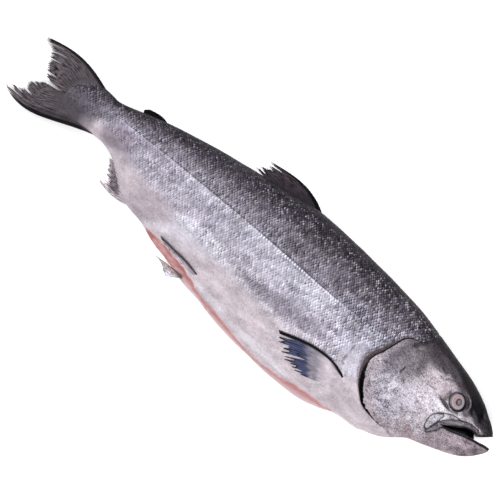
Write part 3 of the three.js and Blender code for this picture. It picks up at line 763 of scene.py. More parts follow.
def hollowCutter():  # the hollow of the mouth
    bm = bmesh.new()
    bmesh.ops.create_uvsphere(bm, u_segments=40, v_segments=24, radius=1)
    placeMound(bm, *head["hollow"])
    return bm


def placeMound(bm, middle, halves, tilt):  # a round ball made longer and flatter, tilted and put in its place
    matrix = Matrix.Translation((*middle, body["rest"](middle[0]))) @ Matrix.Rotation(tilt, 4, "Z")
    bmesh.ops.transform(bm, matrix=matrix @ Matrix.Diagonal((*halves, 1)), verts=bm.verts)


def slitCutter(side):  # behind the gill cover: deep beside it, with painted shadow there in the near-black finish, then up over the membrane
    line = gillEdge["line"]
    heart = Vector(head["slitFrom"])
    fallAway, deep = along(head["slitDepth"]), along(head["deep"])

    def place(u, v):
        spot = u * (len(line) - 1)
        i = min(int(spot), len(line) - 2)
        x, y, gape = (a + (b - a) * (spot - i) for a, b in zip(line[i], line[i + 1]))
        jag = head["jag"] * noise.noise(Vector((u * 44, 4, 0))) * smooth((u - 0.42) / 0.12)
        away = (Vector((x, y)) - heart).normalized() * (gape * v - jag * (1 - v))
        heights = [
            flankHeight(x + away.x, y + away.y, side, over) for over in (-fallAway(v) * deep(u), 9)
        ]
        return x + away.x, y + away.y, min(heights), max(heights)

    bm = sheetOver(110, 12, place)
    across, outward = bm.verts.layers.float["across"], bm.verts.layers.float["outward"]
    black = along(head["black"])
    # the faces beside the cover get the near-black finish as painted shadow, the rest the membrane
    for face in bm.faces:
        u, v = [sum(vert[layer] for vert in face.verts) / len(face.verts) for layer in (across, outward)]
        face.material_index = 0 if v < black(u) else 1
    return bm


def bellyCutter():  # takes off the upper flap's brim, and shows the lower flap's flesh as a ledge
    first, last, steps = bodyLines["flap"][0][0], bodyLines["flap"][-1][0], salmonBody["bellySteps"]
    rings = []
    for i in range(steps + 1):
        x = first + (last - first) * i / steps
        opened = smooth(min(i, steps - i) / steps * 6)
        ragged = salmonBody["flapRagged"] * opened * (
            noise.noise(Vector((x / 9, 3, 0))) + 0.6 * noise.noise(Vector((x / 3.1, 8, 0))))
        belly = body["belly"](x)
        edge = max(body["flap"](x) + ragged, belly - 1.5)
        section = [  # heights are from the middle plane: the brim's cut edge, the ledge of flesh, and outside
            (edge, 34), (edge, -0.5), (edge + 15 * opened, 1.2), (edge + 1, -2.6), (belly + 1, -3.4),
            (belly - 22, -4), (belly - 22, 34),
        ]
        rings.append([Vector((x, y, middleAt(x, y) + z)) for y, z in section])
    return tubeThrough(rings)


def cutFrom(piece, cutters):  # takes each cutter out of the piece, which gets the cutter's finish on the cut
    made = []
    for bm, materials in cutters:
        cutter = addPiece("cutter", bm, materials)
        cut = piece.modifiers.new("cut", "BOOLEAN")
        cut.operation, cut.solver, cut.material_mode = "DIFFERENCE", "MANIFOLD", "TRANSFER"
        cut.object = cutter
        made.append(cutter)
    bpy.context.view_layer.update()
    evaluated = piece.evaluated_get(bpy.context.evaluated_depsgraph_get())
    mesh = bpy.data.meshes.new_from_object(evaluated)
    piece.modifiers.clear()
    piece.data = mesh
    for cutter in made:
        bpy.data.objects.remove(cutter)


rawBody = tubeThrough([bodyRing(x) for x in bodyStations()])
print("body", len(rawBody.verts), "points")
fish = addPiece("salmonBody", rawBody, [skin])
cutFrom(fish, [
    (mouthCutter(), [gumsAndShadow]), (hollowCutter(), [gumsAndShadow]), (bellyCutter(), [flesh]),
    (slitCutter(1), [gumsAndShadow, underCover]), (slitCutter(-1), [gumsAndShadow, underCover]),
])
print("body cut", len(fish.data.polygons), "faces", [m.name for m in fish.data.materials])

# the skin's paint
stains = [  # soft patches: x, y, half length, half height, tilt in degrees, colour, share
    (-292, 22, 40, 30, 0, "#48434a", 0.95),  # towards the tail the silver ends in slate
    (-302, -3, 36, 14, -10, "#4a444b", 0.95),
    (-262, 22, 30, 14, 0, "#615c65", 0.6),
    (-263, -3, 9, 11, 0, "#69636a", 0.5),
    (-195, 20, 56, 7, -2, "#857f8b", 0.75),
    (-176, 33, 34, 8, -6, "#6d6770", 0.5),
    (122, 42, 34, 12, 3, "#645e66", 0.75),
    (198, 60, 22, 10, -10, "#625c64", 0.6),
    (78, -35, 62, 10, 2, "#7d7681", 0.85),  # a duller band low on the flank
    (108, -38, 34, 6, 8, "#857e88", 0.4),
    (112, 1, 38, 12, 2, "#c4c1cc", 0.85),
    (20, -6, 55, 13, 0, "#b4b1bc", 0.5),
    (152, 6, 28, 15, 0, "#817c87", 0.5),
    (166, -28, 17, 18, 0, "#b8b4bf", 0.55),  # the bare skin of the shoulder
    (186, -36, 11, 17, 20, "#b2aeb9", 0.8),
    (-45, 3, 42, 9, 0, "#9a97a2", 0.6),
    (-72, -30, 44, 11, 3, "#c6c3ce", 0.85),
    (-70, -44, 56, 11, 8, "#bfbbc5", 0.6),
    (92, -66, 30, 3, 4, "#c0b9c1", 0.5),
    (3, -80, 28, 3.6, -9, "#c3bec6", 0.7),  # paler streaks along the belly
    (88, -90, 58, 4, -3, "#c3bec6", 0.7),
    (-170, 0, 60, 14, 6, "#9c96a2", 0.6),
    (-130, -38, 34, 18, 15, "#a0969f", 0.75),
    (-218, 4, 26, 13, 2, "#7f7580", 0.8),
    (-76, 67, 40, 10, 6, "#57515a", 0.25),
    (196, -80, 26, 10, 0, "#a49aa1", 0.6),
    (174, -78, 14, 10, 0, "#c2b9bf", 0.75),
    (55, 31, 30, 11, 0, "#655e65", 0.5),  # browner patches over the lateral line
    (111, 25, 9, 6, 0, "#5a545a", 0.6),
    (45, 30, 8, 6, 0, "#5a545a", 0.5),
    (205, 30, 22, 26, 60, "#6d6770", 0.5),
    (290, 17, 30, 19, -8, "#aea3aa", 0.9),  # cheek
    (298, -8, 26, 14, -15, "#c4bcc5", 0.9),
    (274, -16, 14, 20, -20, "#aea7b1", 0.6),
    (240, 15, 31, 22, 62, "#706970", 0.92),  # gill cover, its grey upper half
    (226, -4, 14, 16, 0, "#77707a", 0.85),
    (256, 22, 5, 20, 8, "#4f494e", 0.5),
    (226, 14, 6, 22, -15, "#59535a", 0.5),
    (246, -36, 34, 20, -30, "#a39eaa", 0.8),
    (292, -32, 28, 13, -30, "#b3acb5", 0.75),
    (268, 34, 24, 6, 2, "#5f595e", 0.75),
    (262, 43, 24, 9, -12, "#433d42", 0.8),
    (296, 42, 28, 6, -14, "#4b464b", 0.85),
    (309, 3.6, 11, 3, -12, "#3a353a", 0.9),  # shade under the eye and behind it
    (306.5, 13, 3.6, 9.5, 0, "#4d464b", 0.85),
    (301, 13.5, 6, 7, 0, "#93868a", 0.6),
    (312, -4.5, 14, 4.6, -20, "#c9c4cb", 0.8),
    (340, 19, 8, 11, 0, "#2d2a2d", 0.85),
    (350, 26, 20, 11, -25, "#0d0b0d", 1),  # snout
    (353, 18, 9, 2.6, -30, "#45424a", 0.6),
    (366, 25, 8, 2.4, -42, "#3c3940", 0.6),
    (341, 13, 6, 3.4, 20, "#57525a", 0.6),
    (375, 17, 15, 8, -38, "#2a272b", 0.9),
    (325, 42, 24, 7, -20, "#1d191d", 0.8),
    (362, 13, 8, 3, 0, "#343035", 0.8),
    (332, 2.5, 15, 2.4, 18, "#c4bfc6", 0.9),  # painted highlight over the lip
    (347, 7.6, 8, 3.3, 14, "#aaa5ac", 0.85),
    (304, -52, 20, 3.5, -10, "#8b7476", 0.5),  # reddish throat
    (372, -17, 28, 12, 28, "#7d7077", 0.9),  # lower jaw
    (335, -36, 26, 9, 20, "#877b81", 0.8),
    (356, -20, 20, 4, 20, "#958990", 0.7),
    (384, -12, 14, 5, 25, "#5f565c", 0.7),
    (280, -58, 18, 9, -35, "#9a9198", 0.6),
]
strokes = [  # drawn lines: points, half width, colour, share
    (head["nape"], 3.4, "#29262b", 0.8),
    (head["shoulder"], 0.9, "#57525c", 0.8),
    (head["cleft"], 1, "#6f6a74", 0.8),
    ([(181, -45), (186, -50), (191, -55)], 1.6, "#d2ced8", 0.7),
    ([(241, 3), (240.5, -1), (240, -4)], 1.3, "#34303a", 0.9),
    ([(240, -8), (239, -13), (241, -19), (239.5, -25), (243, -31)], 1.6, "#c9c5cf", 0.5),
    ([(276, 6), (283, 8), (289, 9)], 0.8, "#6f686f", 0.6),
    ([(281, 36), (286, 34), (289, 36)], 1.3, "#2b282c", 0.7),
    ([(284, 26), (287, 26.5)], 1.3, "#4a454a", 0.7),
    ([(292, 28), (295, 31), (300, 33)], 1.2, "#3c383c", 0.7),
    ([(310, -11), (318.5, -5), (328.5, 0), (341, 2.5), (352, 4.5)], 0.9, "#29252a", 0.92),
    ([(322, -18), (332, -12), (343, -5), (352, 1), (361, 4), (368, 2.5), (379, 9), (390, 14.5)],
     1.8, "#141215", 0.95),
    ([(326, -19.5), (338, -16.3), (352, -11.2), (365, -6.8), (378, -3.6), (386, -1.4), (394, 0.4)],
     1.9, "#121013", 0.97),
    # painted shade in a line under the eye
    ([(306, 3.5), (314, 1.5), (322, 2), (331, 5)], 1.1, "#3a3539", 0.7),
    ([(334, 30), (338, 25.5), (339.5, 20), (338, 14)], 1.2, "#6f6a6f", 0.7),
    ([(324, 33), (330, 32), (335, 29)], 1.1, "#6f6a6f", 0.6),
    ([(201, -2), (197.5, -14), (197, -24), (200, -34)], 0.9, "#77504d", 0.55),
]
fold = [(294, -54, 1.6), (283, -61, 1.6), (274, -66.5, 1.2)]  # of the throat, and how far the next lies lower
for i in range(4):
    strokes.append(([(x - 4.5 * i, y - drop * i) for x, y, drop in fold], 0.9, "#7a7178", 0.6))
stains = [(*shape, hexColor(ink)[:3], share) for *shape, ink, share in stains]
strokes = [
    (drawn(points, 2 * half + 1), half, hexColor(ink)[:3], share) for points, half, ink, share in strokes
]
membraneInk, outlineInk, nostrilInk, orbitInk = [
    hexColor(ink)[:3] for ink in ("#5c5459", "#242025", "#0d0c0e", "#353136")
]
plateInks = [hexColor(ink)[:3] for ink in ("#635e65", "#aaa7b1")]


def skinPaintAt(x, y):
    color = (0, 0, 0, 0)
    for px, py, halfLong, halfHigh, tilt, ink, share in stains:
        dx, dy = x - px, y - py
        if abs(dx) > 1.5 * max(halfLong, halfHigh) or abs(dy) > 1.5 * max(halfLong, halfHigh):
            continue
        turn = math.radians(tilt)
        a = (dx * math.cos(turn) + dy * math.sin(turn)) / halfLong
        b = (dy * math.cos(turn) - dx * math.sin(turn)) / halfHigh
        shown = softPatch(a, b)
        if shown:
            color = paintOver(color, ink, share * shown)
    for stroke, half, ink, share in strokes:
        found = nearest(stroke, x, y)
        if found and found[0] < 1.5 * half:
            color = paintOver(color, ink, share * smooth((1.5 * half - found[0]) / half))
    if x < head["formsFrom"]:
        return color
    found = nearest(gillEdge, x, y)
    if found and found[2] < 0:  # the brown membrane that the gill cover leaves bare
        beyond = found[0] - found[3]
        band = 3.4 * smooth(min(found[1], 1 - found[1]) * 5) * (1 - 0.7 * smooth((found[1] - 0.5) / 0.2))
        color = paintOver(color, membraneInk, 0.65 * smooth((band - beyond) / 1.4 + 0.5))
    for plate, ink in zip(plates, plateInks):
        found = nearest(plate, x, y)
        if found:
            color = paintOver(color, ink, 0.8 * smooth((found[3] - found[0]) / 1.2 + 0.3))
            outline = abs(found[0] - found[3] - 0.6)
            color = paintOver(color, outlineInk, 0.95 * smooth((1.3 - outline) / 0.9))
    away = math.hypot(x - head["eye"][0], y - head["eye"][1])
    color = paintOver(color, orbitInk, 0.8 * smooth((13.7 - away) / 1.8))
    dx, dy = x - head["nostril"][0], y - head["nostril"][1]
    away = math.hypot((dx + dy * 0.4) / 3.6, dy / 2.4)
    return paintOver(color, nostrilInk, 0.95 * smooth((1.3 - away) / 0.6))


flapShadeInk, brimInk = hexColor("#9b5552")[:3], hexColor("#c4b4ba")[:3]
redWidth = along([  # of the red beside the upper flap, in millimetres
    (-118, 9), (-60, 8), (-30, 5), (-14, 1.8), (2, 2), (24, 3), (42, 2.2), (65, 1.2), (90, 0.8), (222, 0.8),
])


def fleshPaintAt(x, y):  # redder beside the upper flap, with painted shade right under its edge, pale out at the brim
    beyond = body["flap"](x) - y + 1.6 * noise.noise(Vector((x / 6, y / 3, 2)))
    # painted shade: a darker red over the flesh's own red, right under the upper flap's edge
    if beyond < 1.2:
        return (*flapShadeInk, 0.55 * smooth((1.2 - beyond) / 1.2))
    second = 0.6 * smooth(1 - abs(beyond - redWidth(x) - 3.2) / 1) * smooth((26 - abs(x - 2)) / 8)
    return (*brimInk, (0.95 - second) * smooth((beyond - redWidth(x)) / 1.2))


def paintSkin(piece):
    bm = bmesh.new()
    bm.from_mesh(piece.data)
    toFish, step = toFrame.inverted(), salmonBody["tableStep"]
    bareX, bareY, bareLong, bareHigh = salmonBody["bareSkin"]
    tables = {}

    def tableAt(x):  # heights and arc lengths around the fish, worked out for every few millimetres
        key = round(x / step)
        if key not in tables:
            arcs, rows = sectionAt(min(max(key * step, salmonBody["tailEnd"]), jawTip - 0.5))
            tables[key] = ([-row[0] for row in rows], arcs)
        return tables[key]

    layers = {name: bm.verts.layers.float.new(name) for name in feltNames}
    paint = bm.verts.layers.float_color.new("paint")
    fleshIndex = [material.name for material in piece.data.materials].index(flesh.name)
    ofFlesh = {vert for face in bm.faces if face.material_index == fleshIndex for vert in face.verts}
    arcOf = {}
    for vert in bm.verts:
        x, y, z = toFish @ vert.co
        lateral, back, belly = body["lateral"](x), body["back"](x), body["belly"](x)
        level = (y - lateral) / (back - lateral) if y > lateral else (y - lateral) / (lateral - belly)
        off, _, side, _ = nearest(headEdge, x, y) or (8, 0, 1 if x > head["trunkTo"] else -1, 0)
        headShare = smooth(0.5 + side * off / 3)
        bare = smooth(1.5 - math.hypot((x - bareX) / bareLong, (y - bareY) / bareHigh))
        # the scales show more on the back and behind the head, and fade out on the belly
        contrast = 0.46 + 0.29 * smooth((level + 0.05) / 0.1) + 0.12 * smooth((level - 0.35) / 0.3)
        contrast += 0.3 * smooth((x - 110) / 40) * smooth((level + 0.5) / 0.3)
        fadeOut = 0.1 + 0.9 * smooth((level + 0.64) / 0.16)
        throat, snout = smooth((2 - y) / 14) * smooth((300 - x) / 20), smooth((x - 335) / 15)
        dark = smooth((level - 0.15) / 0.3) * smooth((0.93 - level) / 0.15)
        # where the painted glints show on the dark back, more towards the head
        glintSpread = 0.4 + 0.3 * smooth((x + 60) / 50) + 0.4 * smooth((x - 110) / 50)
        values = {
            "tone": 0.5 + 0.5 * max(-1, min(1, level)),
            "onHead": headShare,
            "scaly": (1 - headShare) * fadeOut * contrast * (1 - 0.65 * bare),
            "mottled": headShare * (0.5 + 0.5 * throat + 0.6 * snout),
            "glintShare": (1 - headShare) * dark * glintSpread,
            "offLine": y - lateral,
            "lined": (1 - headShare) * smooth((x + 245) / 40) * (1 - 0.6 * smooth((x - 105) / 30)),
            "dotted": smooth((x + 20) / 20),
        }
        for name, value in values.items():
            vert[layers[name]] = value
        vert[paint] = fleshPaintAt(x, y) if vert in ofFlesh else skinPaintAt(x, y)
        ys, arcs = tableAt(x)
        i = min(max(bisect_left(ys, -y) - 1, 0), len(ys) - 2)
        t = min(max((-y - ys[i]) / max(ys[i + 1] - ys[i], 1e-6), 0), 1)
        arcOf[vert] = (x / 1000, (arcs[i] + (arcs[i + 1] - arcs[i]) * t) / 1000)
    girth = bm.loops.layers.uv.new("girth")
    for face in bm.faces:
        x, y, z = toFish @ face.calc_center_median()
        side = 1 if z > middleAt(x, y) else -1
        for loop in face.loops:
            u, v = arcOf[loop.vert]
            loop[girth].uv = (u, side * v)
    for face in bm.faces:
        face.smooth = True
    for edge in bm.edges:
        edge.smooth = edge.calc_face_angle(0) < math.radians(50)
    bm.to_mesh(piece.data)
    bm.free()


paintSkin(fish)
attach(fish, "root")
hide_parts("fish")
print("skin painted")


def outwards(x, y, side):  # the way the skin faces
    reach = 4
    slopeX = (flankHeight(x + reach, y, side, 0) - flankHeight(x - reach, y, side, 0)) / (2 * reach)
    slopeY = (flankHeight(x, y + reach, side, 0) - flankHeight(x, y - reach, side, 0)) / (2 * reach)
    return (Vector((-slopeX, -slopeY, 1)) * side).normalized()


eyeLook = {
    "rings": [  # millimetres from the middle of the pupil, and colour
        (0, "#64626d"), (1.4, "#737079"), (2.8, "#66636d"), (3.5, "#4c4951"), (4.3, "#4a454b"),
        (5.1, "#857678"), (5.9, "#a8989a"), (6.7, "#9d9196"), (7.4, "#82787e"), (8.2, "#b0a7ad"),
        (9, "#968d93"), (9.8, "#5f595e"), (10.8, "#2c292c"), (12.5, "#2c292c"),
    ],
    "pupilAhead": 1.5,  # the pupil sits a little towards the snout
    "patches": [  # radius and half width, where it starts along the fish and grows over, colour, share
        (5.9, 2.6, 1, 4, "#b0706a", 0.5),  # a blush on the iris
        (7.6, 2, None, 0.2, "#4f474c", 0.6),  # specks, which lie anywhere on their ring
        (4, 1.5, 0.5, 2.4, "#201d22", 0.9),  # a dark crescent behind the pupil
        (10.4, 2.2, -5, 3, "#857b81", 0.75),  # the pale lid
    ],
}


def makeEye(name, side):  # a flattened ball that bulges from its socket
    x, y = head["eye"]
    axis = outwards(x, y, side)
    bm = bmesh.new()
    bmesh.ops.create_uvsphere(bm, u_segments=96, v_segments=72, radius=1)
    paint = bm.verts.layers.float_color.new("paint")
    rings = eyeLook["rings"]
    for vert in bm.verts:
        spot = Vector((vert.co.x, vert.co.y)) * head["eyeRadius"]
        spot.x -= eyeLook["pupilAhead"] * (1 - smooth(spot.length / 9))
        away = min(spot.length, rings[-1][0])
        i = min(max(bisect_left([ring[0] for ring in rings], away) - 1, 0), len(rings) - 2)
        t = (away - rings[i][0]) / (rings[i + 1][0] - rings[i][0])
        a, b = hexColor(rings[i][1]), hexColor(rings[i + 1][1])
        color = tuple(p + (q - p) * smooth(t) for p, q in zip(a, b))
        speckle = noise.noise(Vector((spot.x / 1.1, spot.y / 1.1, 9))) - 0.18
        for radius, half, start, over, ink, share in eyeLook["patches"]:
            fade = smooth((speckle if start is None else start - spot.x) / over)
            color = paintOver(color, hexColor(ink)[:3], share * smooth(1 - abs(away - radius) / half) * fade)
        vert[paint] = color
    size = Matrix.Diagonal((head["eyeRadius"], head["eyeRadius"], head["eyeDepth"], 1))
    spot = Vector((x, y, flankHeight(x, y, side, 0))) + axis * (head["eyeProud"] - head["eyeDepth"])
    turn = Vector((0, 0, 1)).rotation_difference(axis).to_matrix().to_4x4()
    bmesh.ops.transform(bm, matrix=Matrix.Translation(spot) @ turn @ size, verts=bm.verts)
    eye = addPiece(name, bm, [eyeball])
    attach(eye, "root")
    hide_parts("eye_right" if side > 0 else "eye_left")


makeEye("eyeballRight", 1)
makeEye("eyeballLeft", -1)


def makeTongue():  # a smooth black mound on the floor of the mouth
    bm = bmesh.new()
    bmesh.ops.create_uvsphere(bm, u_segments=48, v_segments=28, radius=1)
    placeMound(bm, *head["tongue"])
    tongue = addPiece("tongue", bm, [gumsAndShadow])
    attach(tongue, "root")
    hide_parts("fish")


makeTongue()
print("eyes and tongue made")

# Roots and tips go from the leading ray at 0 to the last ray at 1. Gaps are tears between rays: where, how
# deep and how wide. Inks are patches: where across and outwards, their half sizes, colour and share.
finDefaults = {"gaps": [], "forked": 0, "droop": 0, "bowSpan": (0.8, 0.8), "softTo": 0.15}
fins = {
    "tailFin": {
        "roots": [
            (0, -255, 41), (0.1, -278, 40), (0.25, -296, 32), (0.5, -304, 14), (0.75, -296, 2),
            (0.9, -272, -3), (1, -243, -8),
        ],
        "tips": [
            (0, -376, 52.5), (0.07, -372, 47.5), (0.14, -359, 43.5), (0.25, -356, 37), (0.35, -351, 27),
            (0.45, -341, 12.5), (0.5, -311, 7.5), (0.55, -333, 6), (0.62, -348, 0), (0.72, -355, -8),
            (0.8, -353, -16), (0.88, -368, -23), (0.95, -375, -30), (1, -364, -34.5),
        ],
        "bow": [(0, 12.5), (0.5, 0), (1, -10)], "bowSpan": (1.1, 1.7),
        "gaps": [
            (0.075, 0.3, 0.008), (0.165, 0.34, 0.014), (0.29, 0.3, 0.012), (0.42, 0.36, 0.012),
            (0.66, 0.16, 0.008), (0.8, 0.2, 0.014), (0.86, 0.13, 0.01), (0.91, 0.2, 0.01),
            (0.955, 0.13, 0.009),
        ],
        "columns": 300, "rows": 80, "thick": (6, 0.7), "forked": 1, "rays": 30, "fray": 0.1, "comb": 0.07,
        "inks": [
            (0.5, 0.5, 2, 2, "#484246", 1), (0, 0.6, 0.05, 1, "#131114", 0.95),
            (1, 0.45, 0.07, 0.4, "#29252a", 0.6), (1, 0.4, 0.028, 1, "#121013", 0.95),
            (0.5, 0, 0.6, 0.16, "#55505a", 0.7),
        ],
    },
    "dorsalFin": {
        "roots": [(0, 44, 92), (0.5, 5, 88), (1, -31, 82)],
        "tips": [
            (0, -52, 106), (0.15, -50, 104.5), (0.3, -48.5, 100.5), (0.5, -47, 97.5), (0.7, -57, 93.5),
            (0.85, -54, 92), (1, -61, 88.5),
        ],
        "bow": [(0, 11.3), (0.5, 4), (1, 0)], "gaps": [(0.22, 0.22, 0.03), (0.9, 0.3, 0.04)],
        "columns": 130, "rows": 70, "thick": (5, 0.7), "rays": 14, "fray": 0.08, "comb": 0.1, "droop": 3,
        "inks": [(0.5, 0.5, 2, 2, "#3a343a", 1), (0, 0.5, 0.12, 1.2, "#0d0c0e", 0.95)],
    },
    "adiposeFin": {
        "roots": [(0, -180, 59), (1, -208, 50)],
        "tips": [(0, -212, 61.5), (0.6, -217, 57), (1, -216, 54)],
        "bow": [(0, 3.6), (1, 0)],
        "columns": 40, "rows": 40, "thick": (6, 2.4), "rays": 0, "fray": 0, "comb": 0, "droop": 1,
        "inks": [(0.5, 0.5, 2, 2, "#070607", 1)],
    },
    "analFin": {
        "roots": [(0, -150, -50), (0.5, -178, -35), (1, -205, -18)],
        "tips": [
            (0, -208.5, -50), (0.2, -202, -45), (0.35, -200, -41), (0.55, -204, -34), (0.75, -208, -27),
            (1, -212, -20),
        ],
        "bow": [(0, -6), (0.5, -1), (1, 0)], "gaps": [(0.12, 0.12, 0.02), (0.27, 0.25, 0.03)],
        "columns": 130, "rows": 60, "thick": (5, 0.7), "rays": 14, "fray": 0.2, "comb": 0.25, "droop": 2,
        "inks": [
            (0.5, 0.5, 2, 2, "#a89da4", 1), (0.4, 0.55, 0.4, 0.26, "#4a454b", 0.85),
            (0.8, 0.7, 0.3, 0.4, "#6b6369", 0.6), (0, 0.6, 0.13, 0.6, "#a0969d", 0.9),
        ],
    },
    "pectoralFin": {
        "roots": [(0, 190, -54.5), (1, 184, -61)],
        "tips": [
            (0, 89, -60.5), (0.12, 92, -64), (0.2, 96, -68.5), (0.32, 103, -74), (0.5, 116, -79),
            (0.72, 130, -82), (0.85, 138, -84), (0.93, 143, -84), (1, 149, -81),
        ],
        "bow": [(0, 10), (0.5, 4), (1, -7)],
        "gaps": [(0.14, 0.13, 0.02), (0.26, 0.17, 0.022), (0.46, 0.36, 0.04), (0.9, 0.2, 0.03)],
        "columns": 190, "rows": 110, "thick": (1.5, 0.9), "rays": 12, "fray": 0.14, "comb": 0.26,
        "lead": 1.5,  # how far the leading ray stands off the flank; such a fin lies against it
        "softTo": 0.5,  # the skin over its base hides the rays
        "inks": [
            (0.5, 0.5, 2, 2, "#b2a8b0", 1), (0.5, 0.74, 2, 0.34, "#6b6873", 0.85),
            (0.35, 0.84, 0.9, 0.22, "#30354e", 0.97), (0.5, 1.02, 2, 0.12, "#151316", 0.9),
            (0, 1, 0.1, 0.8, "#060506", 1), (0, 0.3, 0.12, 0.5, "#060506", 1),
            (0, 0, 0.26, 0.26, "#060506", 1),
        ],
    },
    "pelvicFin": {
        "roots": [(0, -31, -68), (1, -36, -71.5)],
        "tips": [(0, -98, -60), (0.5, -88, -63.5), (1, -68, -68)],
        "bow": [(0, 1), (1, 0)],
        "columns": 60, "rows": 70, "thick": (2.6, 0.9), "rays": 9, "fray": 0.1, "comb": 0.1, "lead": 3.4,
        "inks": [
            (0.5, 0.5, 2, 2, "#9a9199", 1), (0.1, 0.5, 0.4, 2, "#6a646b", 0.8),
            (0, 0.5, 0.2, 2, "#171518", 0.97),
        ],
    },
    "pelvicFinLeft": {
        "roots": [(0, -43, -80.5), (0.5, -46, -82), (1, -49, -83.5)],
        "tips": [(0, -91, -78), (0.3, -81, -79.5), (0.6, -72, -84), (0.85, -64, -89.5), (1, -57, -87.5)],
        "bow": [(0, 2), (1, 0)], "gaps": [(0.15, 0.16, 0.03)],
        "columns": 70, "rows": 50, "thick": (4, 0.7), "rays": 9, "fray": 0.08, "comb": 0.1, "droop": 9,
        "inks": [
            (0.5, 0.5, 2, 2, "#b0adba", 1), (0.25, 0.4, 0.4, 0.8, "#93827f", 0.9),
            (0, 0.6, 0.13, 2, "#2b282c", 0.9),
        ],
    },
}


def rayAt(fin, u, v):  # 1 on a ray, 0 between two; a ray forks on its way out
    if not fin["rays"]:
        return 0.5
    single = 0.5 + 0.5 * math.cos(2 * math.pi * fin["rays"] * u)
    forked = 0.5 + 0.5 * math.cos(4 * math.pi * fin["rays"] * u)
    return single + (forked - single) * smooth((v - 0.35) / 0.3)


def makeFin(name, side=1):
    fin = {**finDefaults, **fins[name]}
    (rootX, rootY), (tipX, tipY) = [
        (along([(u, x) for u, x, y in fin[line]]), along([(u, y) for u, x, y in fin[line]]))
        for line in ("roots", "tips")
    ]
    bow, (bowFirst, bowLast) = along(fin["bow"]), fin["bowSpan"]

    def chanceAt(u, seed):  # -1 to 1, about the same along one ray
        return max(-1, min(1, 1.8 * noise.noise(Vector((u * max(fin["rays"], 1) * 0.9, len(name), seed)))))

    def lengthAt(u):  # the ends of the rays stand past the skin between them, and none are quite alike
        return 1 - fin["fray"] * ((1 - rayAt(fin, u, 1)) * 0.3 + 0.15 + 0.4 * chanceAt(u, 0))

    def place(u, v):
        far = v * lengthAt(u)
        x = rootX(u) + (tipX(u) - rootX(u)) * far
        bowed = bow(u) * math.sin(math.pi * far ** (bowFirst + (bowLast - bowFirst) * u))
        y = rootY(u) + (tipY(u) - rootY(u)) * far + bowed
        thick = fin["thick"][0] + (fin["thick"][1] - fin["thick"][0]) * far ** 0.6
        thick *= 0.72 + 0.28 * rayAt(fin, u, far)
        if "lead" in fin:
            lift = fin["lead"] * (1 - u) ** 2 * smooth(far * 3)
            heights = flankHeight(x, y, side, lift + thick / 2), flankHeight(x, y, side, -thick / 2)
            low = max(min(heights), 0.3)  # the fin below lies on the table
            return x, y, low, max(max(heights), low + 0.7)
        middle = max(middleAt(x, y) - fin["droop"] * far, thick / 2 + 0.6)
        return x, y, middle - thick / 2, middle + thick / 2

    def keep(u, v):  # tears between rays, and a comb of bare ray ends
        for at, depth, half in fin["gaps"]:
            opened = (v - 1 + depth) / depth
            if opened > 0 and abs(u - at) < half * opened ** 0.6:
                return False
        bareFrom = 1 - fin["comb"] * (0.5 + 0.5 * chanceAt(u, 5))
        return v < bareFrom or rayAt(fin, u, fin["forked"]) > 0.1 + 0.75 * (v - bareFrom) / (1 - bareFrom)

    bm = sheetOver(fin["columns"], fin["rows"], place, keep)
    across, outward = bm.verts.layers.float["across"], bm.verts.layers.float["outward"]
    ray, streaks, clear = [bm.verts.layers.float.new(layer) for layer in ("ray", "streaks", "clear")]
    paint = bm.verts.layers.float_color.new("paint")
    for vert in bm.verts:
        u, v = vert[across], vert[outward]
        vert[ray], vert[streaks] = rayAt(fin, u, v), 2 * u * fin["rays"]
        vert[clear] = 0.1 + 0.9 * min(max((v - fin["softTo"]) / 0.45, 0), 1)
        color = (0, 0, 0, 0)
        for pu, pv, halfU, halfV, ink, share in fin["inks"]:
            shown = softPatch((u - pu) / halfU, (v - pv) / halfV)
            color = paintOver(color, hexColor(ink)[:3], share * shown)
        vert[paint] = color
    piece = addPiece(name if side > 0 else name + "Left", bm, [membrane])
    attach(piece, "root")
    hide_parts("fish")


for name in fins:
    makeFin(name)
makeFin("pectoralFin", -1)
print("fins made")


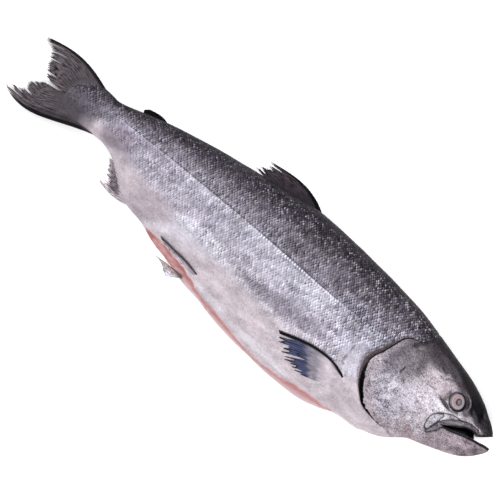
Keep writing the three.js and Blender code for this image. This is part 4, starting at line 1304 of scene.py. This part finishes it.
studio = {
    "table": 12, "drop": 0.0004,  # metres: half the table top, and how far it lies under the fish
    "softboxes": {  # place and size in metres, and watts
        "softboxBelly": ((0.5, -2.0, 1.9), 1.5, 68),
        "softboxTail": ((-2.1, 0.7, 1.8), 1.4, 44),
        "softboxHead": ((1.6, 1.7, 1.8), 1.3, 40),
    },
    "surround": "#fbfbff", "surroundStrength": 0.26,
}


def makeStage():  # a pale table top
    material, tree, shader = newMaterial(
        "paleTable", Roughness=0.6, Emission_Color=(1, 1, 1, 1), Emission_Strength=0.3)
    place = addNode(tree, "TexCoord").outputs["Object"]
    grain = addNode(tree, "TexNoise", {"Vector": place, "Scale": 3, "Detail": 2})
    tone = addNode(tree, "ValToRGB", {"Fac": grain}, stops=[(0, "#f6f6f6"), (1, "#fafafa")])
    tree.links.new(tone.outputs["Color"], shader.inputs["Base Color"])
    bm = bmesh.new()
    bmesh.ops.create_grid(bm, x_segments=1, y_segments=1, size=studio["table"])
    bmesh.ops.translate(bm, vec=(0, 0, -studio["drop"]), verts=bm.verts)
    mesh = bpy.data.meshes.new("tableTop")
    bm.to_mesh(mesh)
    bm.free()
    mesh.materials.append(material)
    floor = bpy.data.objects.new("tableTop", mesh)
    bpy.context.scene.collection.objects.link(floor)


def addSoftbox(name, place, size, power):  # a square lamp that faces the fish
    data = bpy.data.lights.new(name, "AREA")
    data.shape, data.size, data.energy = "SQUARE", size, power
    light = bpy.data.objects.new(name, data)
    place = Vector(place)
    light.matrix_world = Matrix.Translation(place) @ place.to_track_quat("Z", "Y").to_matrix().to_4x4()
    light.visible_camera = False
    bpy.context.scene.collection.objects.link(light)


makeStage()
for name, (place, size, power) in studio["softboxes"].items():
    addSoftbox(name, place, size, power)
world = bpy.data.worlds.new("studio")
world.use_nodes = True
surround = world.node_tree.nodes["Background"]
surround.inputs["Color"].default_value = hexColor(studio["surround"])
surround.inputs["Strength"].default_value = studio["surroundStrength"]
bpy.context.scene.world = world
bpy.context.scene.view_settings.view_transform = "Standard"
print("table and light made")
